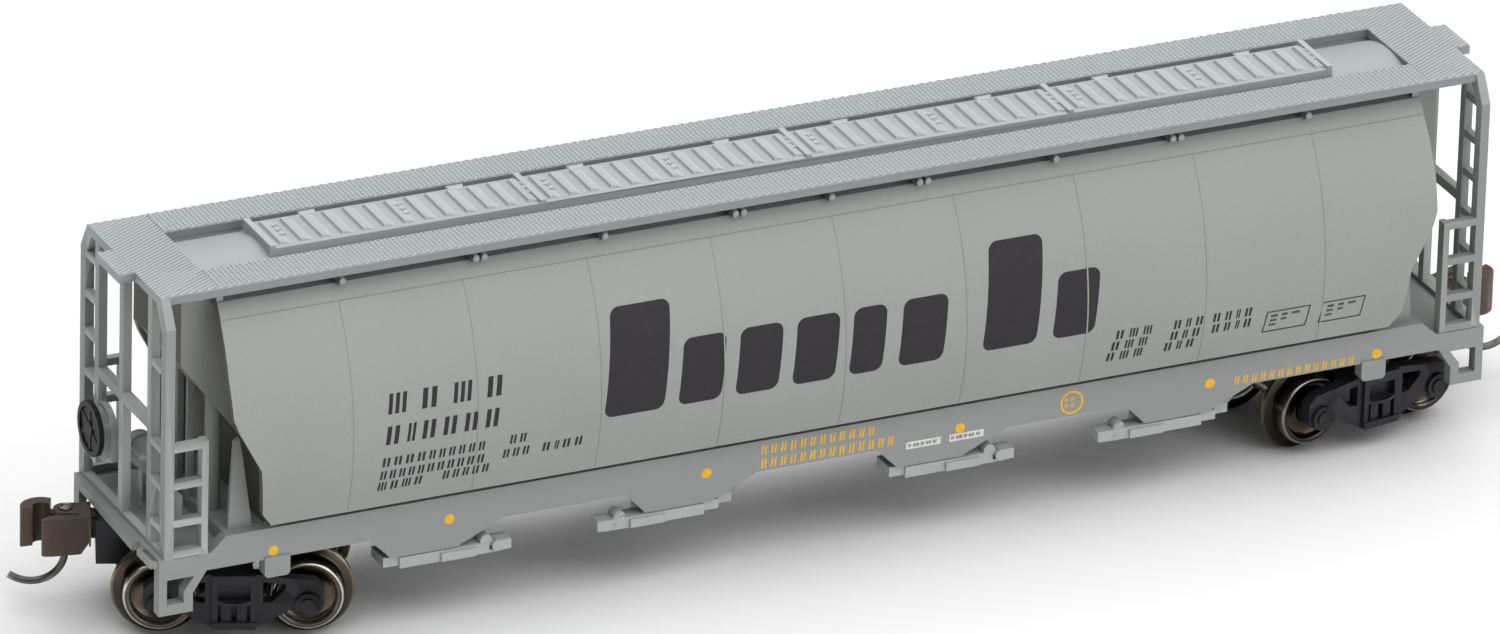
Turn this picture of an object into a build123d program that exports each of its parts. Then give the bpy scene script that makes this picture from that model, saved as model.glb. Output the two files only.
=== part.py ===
from build123d import *
import math
import os

# N scale (1:160) four-bay cylindrical-side covered hopper car.
# X runs along the car, Y across it, Z up. Every height below is measured above the rail head;
# export() lifts the whole car by FLANGE_DEPTH, so it stands on its wheel flanges at Z = 0.
# End "a" is the -X end and end "b" is the same end turned half a turn about Z.
# All sizes are in millimetres.

# ------------------------------------------------------------------ running gear
TREAD_RADIUS = 2.86            # wheel tread, which is also the axle height above the rail
FLANGE_DEPTH = 0.86
FLANGE_RADIUS = TREAD_RADIUS + FLANGE_DEPTH
WHEEL_BACK = 3.85              # inner face of a wheel from the track centre line
WHEEL_FACE = 5.83              # outer face of a wheel
FLANGE_WIDTH = 0.55
AXLE_RADIUS = 0.75
AXLE_SHOULDER = 6.0            # where the plain axle ends and its cone point begins
AXLE_TIP = 6.95
CONE_RADIUS = 0.5
TRUCK_SPACING = 46.85          # truck centre from the car centre
HALF_WHEELBASE = 5.63
SWIVEL_A = -21.45              # how each truck stands on the track at rest, degrees about Z
SWIVEL_B = 10.13
SIDEFRAME_INNER = 6.2
SIDEFRAME_OUTER = 7.2
SIDEFRAME_TOP = 5.4
SIDEFRAME_OUTLINE = [(1.7, 0.95), (4.3, 2.4), (4.8, 1.9), (6.2, 1.9), (6.9, 2.7), (6.9, 4.2), (6.2, 4.85),
                     (4.6, 5.0), (1.75, SIDEFRAME_TOP)]
SIDEFRAME_WINDOW = [(2.2, 4.75), (4.0, 4.55), (3.9, 4.1), (2.9, 3.1), (2.2, 3.0)]
SPRING_BLOCK_HALF_WIDTH = 1.7  # the block in the middle of a side frame
SPRING_BLOCK_BOTTOM = 1.4
SPRING_BLOCK_PROUD = 0.3
POCKET_DEPTH = 0.3             # below the side frame's own face
POCKET_HALF_WIDTH = 1.25
BOLSTER_POCKET_Z = (3.3, 4.6)
SPRING_POCKET_Z = (1.5, 3.0)
SPRING_X = (-0.6, 0.6)
SPRING_WIDTH = 0.75
SPRING_PROUD = 0.2
SPRING_SHELF_Z = (3.0, 3.25)   # the curved shelf over the springs
SPRING_SHELF_RADIUS = 2.2
SPRING_SHELF_PROUD = 0.65
SPRING_PLANK_TOP = 1.5
SPRING_PLANK_PROUD = 0.45
BEARING_RADIUS = 1.0
BEARING_PROUD = 0.3
BEARING_CAP_RADIUS = 0.6
BEARING_CAP_PROUD = 0.45
CONE_POCKET_DEPTH = 0.9        # the pocket that an axle's point turns in
CONE_POCKET_MOUTH = 0.67
CONE_POCKET_TIP = 0.12
AXLE_POINT_TIP = 0.06
SIDEFRAME_OVERLAP = 0.1        # how far the bolster reaches into each side frame
BOLSTER_HALF_WIDTH = 1.5
BOLSTER_BOTTOM = 3.55
BOLSTER_TOP = 5.0
CENTRE_PLATE_RADIUS = 2.2
CENTRE_PLATE_TOP = 5.9
KINGPIN_RADIUS = 1.0
KINGPIN_BOTTOM = 2.75
KINGPIN_TOP = 8.6
KINGPIN_HEAD_RADIUS = 1.7
KINGPIN_CHAMFER = 0.2
RUNNING_GAP = 0.08             # clearance of a part that turns on or in another

# ------------------------------------------------------------------ couplers
BOX_BACK = 4.4                 # from the truck centre
BOX_FRONT = 10.4
BOX_COVER_CORNER = 0.5
BOX_HALF_WIDTH = 1.9
BOX_BOTTOM = 3.75
BOX_CAVITY_FLOOR = 5.1
BOX_CAVITY_TOP = 7.4
BOX_TOP = 7.7
BOX_WALL = 0.42
BOX_TONGUE_X = (1.0, 5.2)      # the neck between the bolster and the coupler box
BOX_TONGUE_HALF_WIDTH = 1.3
BOX_TONGUE_BOTTOM = 3.9
COUPLER_PIVOT = 8.0
PIVOT_POST_RADIUS = 0.55
SHANK_Z = (5.35, 6.95)
SHANK_END_X = 11.2
SHANK_HALF_WIDTH = 0.72
SHANK_EYE_RADIUS = 1.15
UPPER_BAR_Z = (7.08, 7.33)     # the flat bar that lies on the shank
UPPER_BAR_HALF_WIDTH = 0.6
UPPER_BAR_EYE_RADIUS = 0.95
KNUCKLE_PIVOT = (12.7, -0.2)
HEAD_BOTTOM = 4.4
HEAD_TOP = 7.5
HEAD_X = (10.75, 11.7)
HEAD_Y = (-1.3, 1.5)
HEAD_BLOCK_BOTTOM = 5.0
HEAD_HEEL = [(10.9, HEAD_BOTTOM - 1), (12.2, HEAD_BOTTOM - 1), (10.9, 5.3)]
FORK_RADIUS = 0.95
FORK_Z = ((HEAD_BOTTOM, 5.05), (6.9, HEAD_TOP))
GUARD_PLAN = [(11.0, 0.85), (12.2, 0.95), (13.9, 1.15), (14.55, 1.75), (14.4, 2.0), (13.7, 2.0), (11.0, 1.5)]
HOOK_PLAN = [(13.75, -0.75), (14.5, -0.75), (15.15, -0.4), (15.2, 0.35), (16.05, 0.45), (16.2, -0.1),
             (16.0, -0.95), (15.1, -1.6), (13.75, -1.65)]
HOOK_Z = (4.5, 7.75)
HOOK_NOTCH = [(15.0, 4.5), (17, 4.5), (17, 5.1), (16.0, 4.5)]
KNUCKLE_EYE_RADIUS = 0.85
KNUCKLE_EYE_Z = (5.12, 6.83)
KNUCKLE_ARM_X = 13.9
KNUCKLE_ARM_Y = (-1.6, -0.75)
TRIP_PIN_RADIUS = 0.29
TRIP_PIN_PLAY = 0.05
TRIP_PIN_TOP = 7.6
TRIP_PIN_BEND_Z = 3.95
TRIP_PIN_BEND_RADIUS = 2.85
TRIP_PIN_SWEEP = 122           # degrees of its curve
TRIP_PIN_TURN = -10
SPRING_AXIS_Z = 6.15           # the coil behind the coupler's tail
SPRING_COIL_X = (4.9, 6.75)
SPRING_COIL_RADIUS = 0.62
SPRING_COIL_BORE = 0.4

# ------------------------------------------------------------------ body
SIDE_RADIUS = 18.36            # radius of each curved side
SIDE_CENTRE_OFFSET = 8.2       # its centre lies this far beyond the centre line
SIDE_CENTRE_Z = 16.5
SIDE_BOTTOM_Z = 10.4
SIDE_TOP_Z = 28.0              # inside the body
CHORD_BOTTOM_Z = 27.1          # the band along the top of each side
CHORD_TOP_Z = 28.2
CHORD_PROUD = 0.09
RECESS_HALF_WIDTH = 5.2        # the body's neck under the edge of the roof walk
ROOF_Z = 29.2                  # where the roof walk rests on the body
SEAM_PITCH = 10.3              # joints between the side sheets
SEAM_COUNT = 9
SEAM_WIDTH = 0.12
SEAM_PROUD = 0.03
DOME_HALF_WIDTH = 3.7
DOME_EDGE_Z = 28.9
DOME_CROWN_Z = 29.75
PLINTH_HALF_WIDTH = 8.0        # the ledge below each side
PLINTH_TOP_Z = 10.3
PLINTH_BOTTOM_Z = 9.95
PLINTH_NECK = 7.5              # half width of the gap between the ledge and the sill
CORE_END_X = 53.2              # the narrow end wall
CORE_HALF_WIDTH = 4.6
CORE_END_Z = 22.7
SLOPE = 1.37                   # fall of the slope sheet for each millimetre inboard
BODY_FOOT_X = 47.4
WING_END_X = 48.2              # recessed face between the end wall and the side sheets
SHEET_THICKNESS = 0.6
SHEET_END_X = 50.9             # the upright end edge of each side, with the flange above it
SHEET_OUTLINE = [(SHEET_END_X, CHORD_TOP_Z), (51.1, 23.0), (51.0, 20.0), (50.6, 18.9), (48.8, 15.5),
                 (48.4, 11.5), (47.6, SIDE_BOTTOM_Z), (47.6, 0)]
FLANGE_LENGTH = 0.55
WALL = 1.0
BALLAST_HALF_LENGTH = 40.0
BALLAST_HALF_WIDTH = 6.6
BALLAST_THICKNESS = 1.6

# ------------------------------------------------------------------ roof
ROOF_WALK_HALF_LENGTH = 56.0
ROOF_WALK_HALF_WIDTH = 7.2
ROOF_WALK_TOP = 29.9
ROOF_OPENING_X = 51.2
ROOF_OPENING_Y = 3.6
ROOF_TAB_X = 57.3
ROOF_TAB_HALF_WIDTH = 2.2
HATCH_HALF_LENGTH = 44.8
HATCH_HALF_WIDTH = 2.5
HATCH_TOP = 30.1
BATTEN_TOP = 30.4
BATTEN_WIDTH = 0.5
BATTEN_DEPTH = 0.9             # below the hatch covers' top
BATTEN_OVERHANG = 0.3
HATCH_COUNT = 4

# ------------------------------------------------------------------ underframe
SILL_OUTER = 8.39
SILL_INNER = 7.4
SILL_TOP = 9.7
SILL_BOTTOM = 7.1
END_SILL_TOP = 8.5
CAR_END_X = 56.4
STIRRUP_BOTTOM = 3.85
SILL_END_OUTLINE = [(50.9, SILL_TOP), (52.2, END_SILL_TOP), (CAR_END_X, END_SILL_TOP),
                    (CAR_END_X, STIRRUP_BOTTOM), (53.6, STIRRUP_BOTTOM), (53.6, 5.4), (52.5, SILL_BOTTOM)]
STIRRUP_OPENING = [(55.75, 4.7), (54.35, 4.7), (54.35, 5.65), (53.5, 6.8), (55.75, 6.8)]
DECK_BOTTOM = 8.9
PLATFORM_BOTTOM = 7.85
PLATFORM_INNER_X = 50.3
PLATFORM_RISER = 0.6
BRAKE_STEP_PLAN = [(-CAR_END_X, -4.5), (-57.05, -4.5), (-56.7, 6.6), (-CAR_END_X, 6.6)]
GRAB_PLAN = [(-CAR_END_X, -8.2), (-57.0, -8.0), (-57.0, -5.4), (-CAR_END_X, -5.2)]
GRAB_OPENING = [(-CAR_END_X, -7.8), (-56.7, -7.7), (-56.7, -5.7), (-CAR_END_X, -5.6)]
GRAB_THICKNESS = 0.5
CENTRE_SILL_HALF_LENGTH = 44.0
CENTRE_SILL_HALF_WIDTH = 1.4
CENTRE_SILL_BOTTOM = 7.4
BODY_BOLSTER_HALF_WIDTH = 2.4
BODY_BOLSTER_BOTTOM = 7.7
BAY_PITCH = 21.35
BAY_COUNT = 4
TAB_BOTTOM = 5.3
BAY_TAB_OUTLINE = [(4.2, SILL_BOTTOM), (0.7, 5.5), (0.3, TAB_BOTTOM), (-5.2, TAB_BOTTOM),
                   (-6.95, SILL_BOTTOM)]
FUNNEL_TOP_HALF_LENGTH = 5.6
FUNNEL_BOTTOM_HALF_LENGTH = 2.6
PAD_BOTTOM = 5.6
PAD_CENTRE_X = 46.7
PAD_WIDTH = 2.1
PAD_PROUD = 0.15
PAD_OVERLAP = 0.2              # how far its block runs up behind the sill
PAD_CORNER = 0.35
SUPPORT_FOOT_Z = 9.4           # where the slope sheet's supports stand in the deck
GUSSET_OUTLINE = [(-50.4, SUPPORT_FOOT_Z), (-48.35, SUPPORT_FOOT_Z), (-49.2, 15.6), (-49.5, 17.2),
                  (-49.9, 17.0)]
GUSSET_THICKNESS = 0.4
COLUMN_X = -50.0               # round supports under each slope sheet
COLUMN_Y = 3.4
COLUMN_RADIUS = 0.62
RIB_X = (-51.1, -50.6)         # thin supports beside the centre line
RIB_Y = 1.0
RIB_THICKNESS = 0.4

# ------------------------------------------------------------------ outlet gates, about each bay's centre
GATE_BOTTOM = 4.35
GATE_SLAB_BOTTOM = 4.5
GATE_SLAB_HALF_LENGTH = 2.5
GATE_BAR_SHIFT = -2.35         # the bar's own centre
GATE_BAR_X = (-2.1, 5.4)       # its parts run towards the operating end
GATE_BAR_TOP = 5.2
GATE_BAR_OVERLAP = 0.4         # how far it reaches in behind the sill
GATE_FOOT_X = (-2.1, 6.5)
GATE_FOOT_Z = (4.3, 4.55)
GATE_FOOT_OVERLAP = 0.2
GATE_STEP_X = (1.3, 4.2)
GATE_STEP_TOP = 5.05
GATE_STEP_PROUD = 0.25
GATE_TIE_X = (-3.4, 3.0)       # what joins the bar to the slab
GATE_TIE_INSET = 0.2
GATE_TIE_OVERLAP = 1.5
GATE_LUG = (5.1, 5.35)         # X and height of its centre
GATE_LUG_RADIUS = 0.5
GATE_HANDLE_X = (5.5, 7.05)
GATE_HANDLE_Z = (4.55, 5.4)
GATE_HANDLE_PROUD = 0.35
GATE_HANDLE_CORNER = 0.4

# ------------------------------------------------------------------ end cages
POST_OUTER_X = 56.0
POST_DEPTH = 0.7
CORNER_POST_WIDTH = 0.95
CORNER_POST_X = 0.76           # length of a corner post along the car
CHAMFER_WIDTH = 1.235          # a corner post's width at the roof walk
CHAMFER_BOTTOM_Z = 27.7
END_POST_WIDTH = 0.8
NEAR_POST_Y = -5.2
FAR_POST_Y = 5.1
MIDDLE_POST_Y_A = 0.3
MIDDLE_POST_Y_B = -0.5
BEAM_BOTTOM = 18.1
BEAM_TOP = 18.95
KERB_HEIGHT = 0.4
LADDER_RAIL_X = (52.43, 52.95)
LADDER_RAIL_DEPTH = 0.95
SIDE_RUNG_DEPTH = 0.7
SIDE_RUNGS_Z = (8.85, 11.45, 14.6, 17.7)
FULL_LADDER_Z = (11.0, 14.3, 17.5, 20.9, 24.1, 27.4)
SHORT_LADDER_Z = (10.75, 14.25, 17.4, 24.0)
RUNG_HEIGHT = 0.6
RUNG_SETBACK = 0.1             # from the back of the end posts

# ------------------------------------------------------------------ hand brake, at the -X end
BRAKE_Y = 3.5
BRAKE_Z = 14.55
BRAKE_WHEEL_RADIUS = 2.2
BRAKE_RIM_WIDTH = 0.42
BRAKE_WHEEL_THICKNESS = 0.42
BRAKE_WEB_THICKNESS = 0.14
BRAKE_HUB_RADIUS = 0.6
BRAKE_SPOKES = 6
BRAKE_SPOKE_WIDTH = 0.4
BRAKE_SPOKE_INSET = 0.08       # from each face of the rim
BRAKE_HOUSING_HALF_WIDTH = 1.65
BRAKE_HOUSING_DROP = 2.0       # its flat bottom, below its axis
BRAKE_HOUSING_FRONT = 56.85
BRAKE_FLANGE_FRONT = 56.2
BRAKE_FLANGE_PROUD = 0.25
BRAKE_POST_BOTTOM = 11.45      # where the post that carries the housing ends
BRAKE_STEM_RADIUS = 0.4
BRAKE_STEM_GAP = 0.02          # between the stem's end and the post behind it

# ------------------------------------------------------------------ brake cylinder, on the deck at -X
CYLINDER_X = -53.3
CYLINDER_Z = 12.6
CYLINDER_RADIUS = 1.25
CYLINDER_Y = (0.2, 3.4)
CYLINDER_RING_RADIUS = 1.45
CYLINDER_RING_Y = (2.2, 2.5)
CYLINDER_NOSE_RADIUS = 0.45
CYLINDER_NOSE_Y = (-0.6, 0.4)
CYLINDER_BRACKET_HALF_LENGTH = 0.5
CYLINDER_BRACKET_Y = (1.2, 2.0)
CYLINDER_FOOT_HALF_LENGTH = 1.0
CYLINDER_FOOT_Y = (0.6, 3.0)
CYLINDER_FOOT_THICKNESS = 0.3
VALVE_HALF_LENGTH = 0.8
VALVE_Y = (-3.6, -2.0)
VALVE_TOP = 11.2
PIPE_Z = 10.4
PIPE_RADIUS = 0.3
PIPE_Y = (-2.1, 1.4)


# ------------------------------------------------------------------ helpers
def block(x, y, z):
    """A box between the two limits given for each axis."""
    size = Box(x[1] - x[0], y[1] - y[0], z[1] - z[0])
    return Pos((x[0] + x[1]) / 2, (y[0] + y[1]) / 2, (z[0] + z[1]) / 2) * size


def prism(points, axis, start, end):
    """An outline in the plane across axis, carried from start to end along it."""
    place = {
        "x": lambda p: (start, p[0], p[1]),
        "y": lambda p: (p[0], start, p[1]),
        "z": lambda p: (p[0], p[1], start),
    }[axis]
    direction = {"x": (1, 0, 0), "y": (0, 1, 0), "z": (0, 0, 1)}[axis]
    outline = make_face(Polyline(*[place(p) for p in points], close=True))
    return extrude(outline, amount=end - start, dir=direction)


def rod(axis, centre, radius, start, end):
    """A round bar along an axis; centre holds its other two coordinates."""
    turn = {"x": (0, 90, 0), "y": (-90, 0, 0), "z": (0, 0, 0)}[axis]
    middle = (start + end) / 2
    place = {
        "x": (middle, centre[0], centre[1]),
        "y": (centre[0], middle, centre[1]),
        "z": (centre[0], centre[1], middle),
    }[axis]
    return Pos(*place) * Rot(*turn) * Cylinder(radius, end - start)


def half_turn(shape):
    return Rot(0, 0, 180) * shape


def both_ends(points):
    """An outline given for +X, completed with its mirror image at -X."""
    return points + [(-x, z) for x, z in reversed(points)]


def joined(shapes):
    total = shapes[0]
    for shape in shapes[1:]:
        total = total + shape
    return total


# ------------------------------------------------------------------ body shell
def side_y(z, inset=0.0):
    return math.sqrt((SIDE_RADIUS - inset) ** 2 - (z - SIDE_CENTRE_Z) ** 2) - SIDE_CENTRE_OFFSET


def side_arc(inset, top=SIDE_TOP_Z):
    """The curved side at +Y, from its top edge down to its bottom edge."""
    return ThreePointArc(
        (0, side_y(top, inset), top),
        (0, side_y(SIDE_CENTRE_Z, inset), SIDE_CENTRE_Z),
        (0, side_y(SIDE_BOTTOM_Z, inset), SIDE_BOTTOM_Z),
    )


def mirrored_face(middle_edges, half_edges):
    """A closed section from its edges at +Y, their mirror images and what joins them."""
    return make_face(middle_edges + half_edges + [edge.mirror(Plane.XZ) for edge in half_edges])


def outer_section():
    """The body's cross-section: dome, neck, top band, curved side, ledge and gap above the sill."""
    arc = side_arc(0, CHORD_BOTTOM_Z)
    dome = ThreePointArc(
        (0, -DOME_HALF_WIDTH, DOME_EDGE_Z), (0, 0, DOME_CROWN_Z), (0, DOME_HALF_WIDTH, DOME_EDGE_Z)
    )
    floor = Line((0, PLINTH_NECK, SILL_TOP), (0, -PLINTH_NECK, SILL_TOP))
    above = [
        (DOME_HALF_WIDTH, DOME_EDGE_Z), (DOME_HALF_WIDTH, ROOF_Z), (RECESS_HALF_WIDTH, ROOF_Z),
        (RECESS_HALF_WIDTH, CHORD_TOP_Z), (side_y(CHORD_TOP_Z, -CHORD_PROUD), CHORD_TOP_Z),
        (side_y(CHORD_BOTTOM_Z, -CHORD_PROUD), CHORD_BOTTOM_Z), (side_y(CHORD_BOTTOM_Z), CHORD_BOTTOM_Z),
    ]
    below = [
        (side_y(SIDE_BOTTOM_Z), SIDE_BOTTOM_Z), (side_y(SIDE_BOTTOM_Z), PLINTH_TOP_Z),
        (PLINTH_HALF_WIDTH, PLINTH_TOP_Z), (PLINTH_HALF_WIDTH, PLINTH_BOTTOM_Z),
        (PLINTH_NECK, PLINTH_BOTTOM_Z), (PLINTH_NECK, SILL_TOP),
    ]
    edges = [arc]
    for points in (above, below):
        edges += [Line((0, *start), (0, *end)) for start, end in zip(points, points[1:])]
    return mirrored_face([dome, floor], edges)


def make_side_seams():
    """The joints between the side sheets, a little proud of both curved sides."""
    outer, inner = side_arc(-SEAM_PROUD, CHORD_BOTTOM_Z), side_arc(SHEET_THICKNESS / 2, CHORD_BOTTOM_Z)
    strip = make_face([outer, Line(outer @ 1, inner @ 1), inner, Line(inner @ 0, outer @ 0)])
    seam = extrude(strip, amount=SEAM_WIDTH, dir=(1, 0, 0))
    seams = []
    for index in range(SEAM_COUNT):
        place = Pos(SEAM_PITCH * (index - (SEAM_COUNT - 1) / 2) - SEAM_WIDTH / 2, 0, 0)
        seams += [place * seam, place * seam.mirror(Plane.XZ)]
    return seams


def inner_section(inset, bottom):
    """The space inside the curved sides, carried straight down to the given height."""
    arc = side_arc(inset)
    top_y = side_y(SIDE_TOP_Z, inset)
    foot_y = side_y(SIDE_BOTTOM_Z, inset)
    ceiling = Line((0, -top_y, SIDE_TOP_Z), (0, top_y, SIDE_TOP_Z))
    floor = Line((0, foot_y, bottom), (0, -foot_y, bottom))
    return mirrored_face([ceiling, floor], [arc, Line(arc @ 1, (0, foot_y, bottom))])


def lengthwise(face, half_length):
    """A cross-section carried both ways along the car from its middle."""
    return extrude(face, amount=half_length, dir=(1, 0, 0)) + extrude(
        face, amount=half_length, dir=(-1, 0, 0)
    )


def slope_z(x):
    """Height of the slope sheet's outer face at a distance from the car's middle."""
    return CORE_END_Z - (CORE_END_X - x) * SLOPE


def end_profile(end_x, lift=0.0, foot_x=BODY_FOOT_X, bottom=0.0):
    """Side view of a body that ends upright at end_x and then follows the slope sheet."""
    top = ROOF_Z + 1
    return both_ends([
        (end_x, top), (end_x, slope_z(end_x) + lift), (foot_x, slope_z(foot_x) + lift), (foot_x, bottom),
    ])


def make_sheet_flange():
    """The short upright flange that carries a side's end edge up to the roof walk, at +X and +Y."""
    return block((SHEET_END_X - FLANGE_LENGTH, SHEET_END_X),
                 (RECESS_HALF_WIDTH - WALL / 2, side_y(CHORD_TOP_Z)), (CHORD_TOP_Z - WALL / 2, ROOF_Z))


def make_body_shell():
    width = 2 * SILL_OUTER
    section = lengthwise(outer_section(), CORE_END_X)
    main = section & prism(end_profile(WING_END_X), "y", -width, width)
    core = section & prism(end_profile(CORE_END_X), "y", -CORE_HALF_WIDTH, CORE_HALF_WIDTH)
    core -= block((-CORE_END_X - 1, -ROOF_OPENING_X), (-width, width), (ROOF_Z, ROOF_Z + 1))
    core -= block((ROOF_OPENING_X, CORE_END_X + 1), (-width, width), (ROOF_Z, ROOF_Z + 1))
    lining = lengthwise(inner_section(SHEET_THICKNESS, 0), CORE_END_X)
    outline = both_ends([(SHEET_END_X, ROOF_Z + 1)] + SHEET_OUTLINE)
    sheets = (section - lining) & prism(outline, "y", -width, width)
    sheets -= block((-CORE_END_X, -WING_END_X), (-ROOF_OPENING_Y, ROOF_OPENING_Y), (0, ROOF_Z + 1))
    sheets -= block((WING_END_X, CORE_END_X), (-ROOF_OPENING_Y, ROOF_OPENING_Y), (0, ROOF_Z + 1))
    flange = make_sheet_flange()
    flanges = [flange, flange.mirror(Plane.XZ), half_turn(flange), half_turn(flange.mirror(Plane.XZ))]
    space = lengthwise(inner_section(WALL, SILL_TOP - 1), CORE_END_X)
    cavity = hopper_space(WING_END_X, width) + hopper_space(CORE_END_X, CORE_HALF_WIDTH - WALL)
    return joined([main, core, sheets] + flanges + make_side_seams()) - (space & cavity)


def hopper_space(end_x, half_width):
    """The room inside a body with the given end and half width, one wall in from its outside."""
    profile = end_profile(end_x - WALL, lift=1.5 * WALL, foot_x=BODY_FOOT_X - WALL)
    return prism(profile, "y", -half_width, half_width)


def make_ballast_weight():
    return block((-BALLAST_HALF_LENGTH, BALLAST_HALF_LENGTH), (-BALLAST_HALF_WIDTH, BALLAST_HALF_WIDTH),
                 (SILL_TOP, SILL_TOP + BALLAST_THICKNESS))


# ------------------------------------------------------------------ roof
def post_top_y():
    """Where a corner post's chamfer passes the underside of the roof walk."""
    lean = (SILL_OUTER - ROOF_WALK_HALF_WIDTH) / (ROOF_WALK_TOP - CHAMFER_BOTTOM_Z)
    return ROOF_WALK_HALF_WIDTH + (ROOF_WALK_TOP - ROOF_Z) * lean


def make_roof_walk():
    frame = block(
        (-ROOF_WALK_HALF_LENGTH, ROOF_WALK_HALF_LENGTH),
        (-ROOF_WALK_HALF_WIDTH, ROOF_WALK_HALF_WIDTH),
        (ROOF_Z, ROOF_WALK_TOP),
    )
    tabs = block((-ROOF_TAB_X, ROOF_TAB_X), (-ROOF_TAB_HALF_WIDTH, ROOF_TAB_HALF_WIDTH),
                 (ROOF_Z, ROOF_WALK_TOP))
    opening = block((-ROOF_OPENING_X, ROOF_OPENING_X), (-ROOF_OPENING_Y, ROOF_OPENING_Y),
                    (ROOF_Z - 1, ROOF_WALK_TOP + 1))
    root = ROOF_WALK_HALF_WIDTH - WALL / 2
    wedge = [(root, ROOF_Z), (post_top_y(), ROOF_Z), (ROOF_WALK_HALF_WIDTH, ROOF_WALK_TOP),
             (root, ROOF_WALK_TOP)]
    for side in (-1, 1):
        corner = prism([(side * y, z) for y, z in wedge], "x", -ROOF_WALK_HALF_LENGTH,
                       -ROOF_WALK_HALF_LENGTH + CORNER_POST_X)
        frame = frame + corner + half_turn(corner)
    return frame + tabs - opening


def make_roof_hatches(body):
    """The strip of hatch covers, with a batten at each end and between one cover and the next."""
    strip = block((-HATCH_HALF_LENGTH, HATCH_HALF_LENGTH), (-HATCH_HALF_WIDTH, HATCH_HALF_WIDTH),
                  (DOME_EDGE_Z, HATCH_TOP))
    pitch = 2 * HATCH_HALF_LENGTH / HATCH_COUNT
    for index in range(HATCH_COUNT + 1):
        x = -HATCH_HALF_LENGTH + index * pitch
        strip += block((x - BATTEN_WIDTH / 2, x + BATTEN_WIDTH / 2),
                       (-HATCH_HALF_WIDTH, HATCH_HALF_WIDTH + BATTEN_OVERHANG),
                       (HATCH_TOP - BATTEN_DEPTH, BATTEN_TOP))
    return strip - body


# ------------------------------------------------------------------ underframe
def bay_centres():
    return [BAY_PITCH * (index - (BAY_COUNT - 1) / 2) for index in range(BAY_COUNT)]


def make_side_sill():
    """The sill plate at -Y, with the hopper bay tabs and a stirrup at each end in one outline."""
    left_end = [(-x, z) for x, z in reversed(SILL_END_OUTLINE)]
    tabs = [(centre + x, z) for centre in reversed(bay_centres()) for x, z in BAY_TAB_OUTLINE]
    plate = prism(SILL_END_OUTLINE + tabs + left_end, "y", -SILL_OUTER, -SILL_INNER)
    for mirror in (1, -1):
        outline = [(mirror * x, z) for x, z in STIRRUP_OPENING]
        plate -= prism(outline, "y", -SILL_OUTER - 1, -SILL_INNER + 1)
        middle = mirror * PAD_CENTRE_X
        pad = block((middle - PAD_WIDTH / 2, middle + PAD_WIDTH / 2),
                    (-SILL_OUTER - PAD_PROUD, -SILL_INNER), (PAD_BOTTOM, SILL_BOTTOM + PAD_OVERLAP))
        plate += fillet(pad.edges().filter_by(Axis.Y).group_by(Axis.Z)[0], PAD_CORNER)
    return plate


def make_platform():
    """The deck at the -X end, its brake platform, the grab bar under it and what holds the slope."""
    deck = block((-CAR_END_X, -PLATFORM_INNER_X), (-SILL_INNER, SILL_INNER),
                 (PLATFORM_BOTTOM, END_SILL_TOP))
    riser = block((-PLATFORM_INNER_X - PLATFORM_RISER, -PLATFORM_INNER_X), (-SILL_INNER, SILL_INNER),
                  (PLATFORM_BOTTOM, SILL_TOP))
    brake_step = prism(BRAKE_STEP_PLAN, "z", PLATFORM_BOTTOM, END_SILL_TOP)
    grab = prism(GRAB_PLAN, "z", PLATFORM_BOTTOM, PLATFORM_BOTTOM + GRAB_THICKNESS)
    grab -= prism(GRAB_OPENING, "z", 0, END_SILL_TOP)
    corner = block((-CAR_END_X, -POST_OUTER_X), (-SILL_OUTER, SILL_OUTER),
                   (PLATFORM_BOTTOM, END_SILL_TOP))
    return joined([deck, riser, brake_step, grab, corner] + make_slope_supports())


def make_slope_supports():
    """What stands on the deck under the slope sheet at -X: two gussets, two columns and two ribs."""
    below_slope = prism([(-CAR_END_X, 0), (-WING_END_X, 0), (-WING_END_X, slope_z(WING_END_X)),
                         (-CAR_END_X, slope_z(CAR_END_X))], "y", -SILL_INNER, SILL_INNER)
    foot, head = SUPPORT_FOOT_Z, CORE_END_Z
    supports = []
    for side in (-1, 1):
        edge = side * SILL_INNER
        supports.append(prism(GUSSET_OUTLINE, "y", *sorted((edge, edge - side * GUSSET_THICKNESS))))
        supports.append(rod("z", (COLUMN_X, side * COLUMN_Y), COLUMN_RADIUS, foot, head) & below_slope)
        rib_y = (side * RIB_Y - RIB_THICKNESS / 2, side * RIB_Y + RIB_THICKNESS / 2)
        supports.append(block(RIB_X, rib_y, (foot, head)) & below_slope)
    return supports


def make_bay_funnel(centre):
    """The wedge of a hopper bay between the side sills."""
    outline = [(centre - FUNNEL_TOP_HALF_LENGTH, DECK_BOTTOM), (centre + FUNNEL_TOP_HALF_LENGTH, DECK_BOTTOM),
               (centre + FUNNEL_BOTTOM_HALF_LENGTH, TAB_BOTTOM),
               (centre - FUNNEL_BOTTOM_HALF_LENGTH, TAB_BOTTOM)]
    return prism(outline, "y", -SILL_INNER, SILL_INNER)


def make_bolster(x):
    """A body bolster with the round pad that its truck bears on and the bore for the kingpin."""
    beam = block((x - BODY_BOLSTER_HALF_WIDTH, x + BODY_BOLSTER_HALF_WIDTH), (-SILL_INNER, SILL_INNER),
                 (BODY_BOLSTER_BOTTOM, DECK_BOTTOM))
    pad = rod("z", (x, 0), BODY_BOLSTER_HALF_WIDTH, CENTRE_PLATE_TOP + RUNNING_GAP, DECK_BOTTOM)
    return beam + pad


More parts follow.
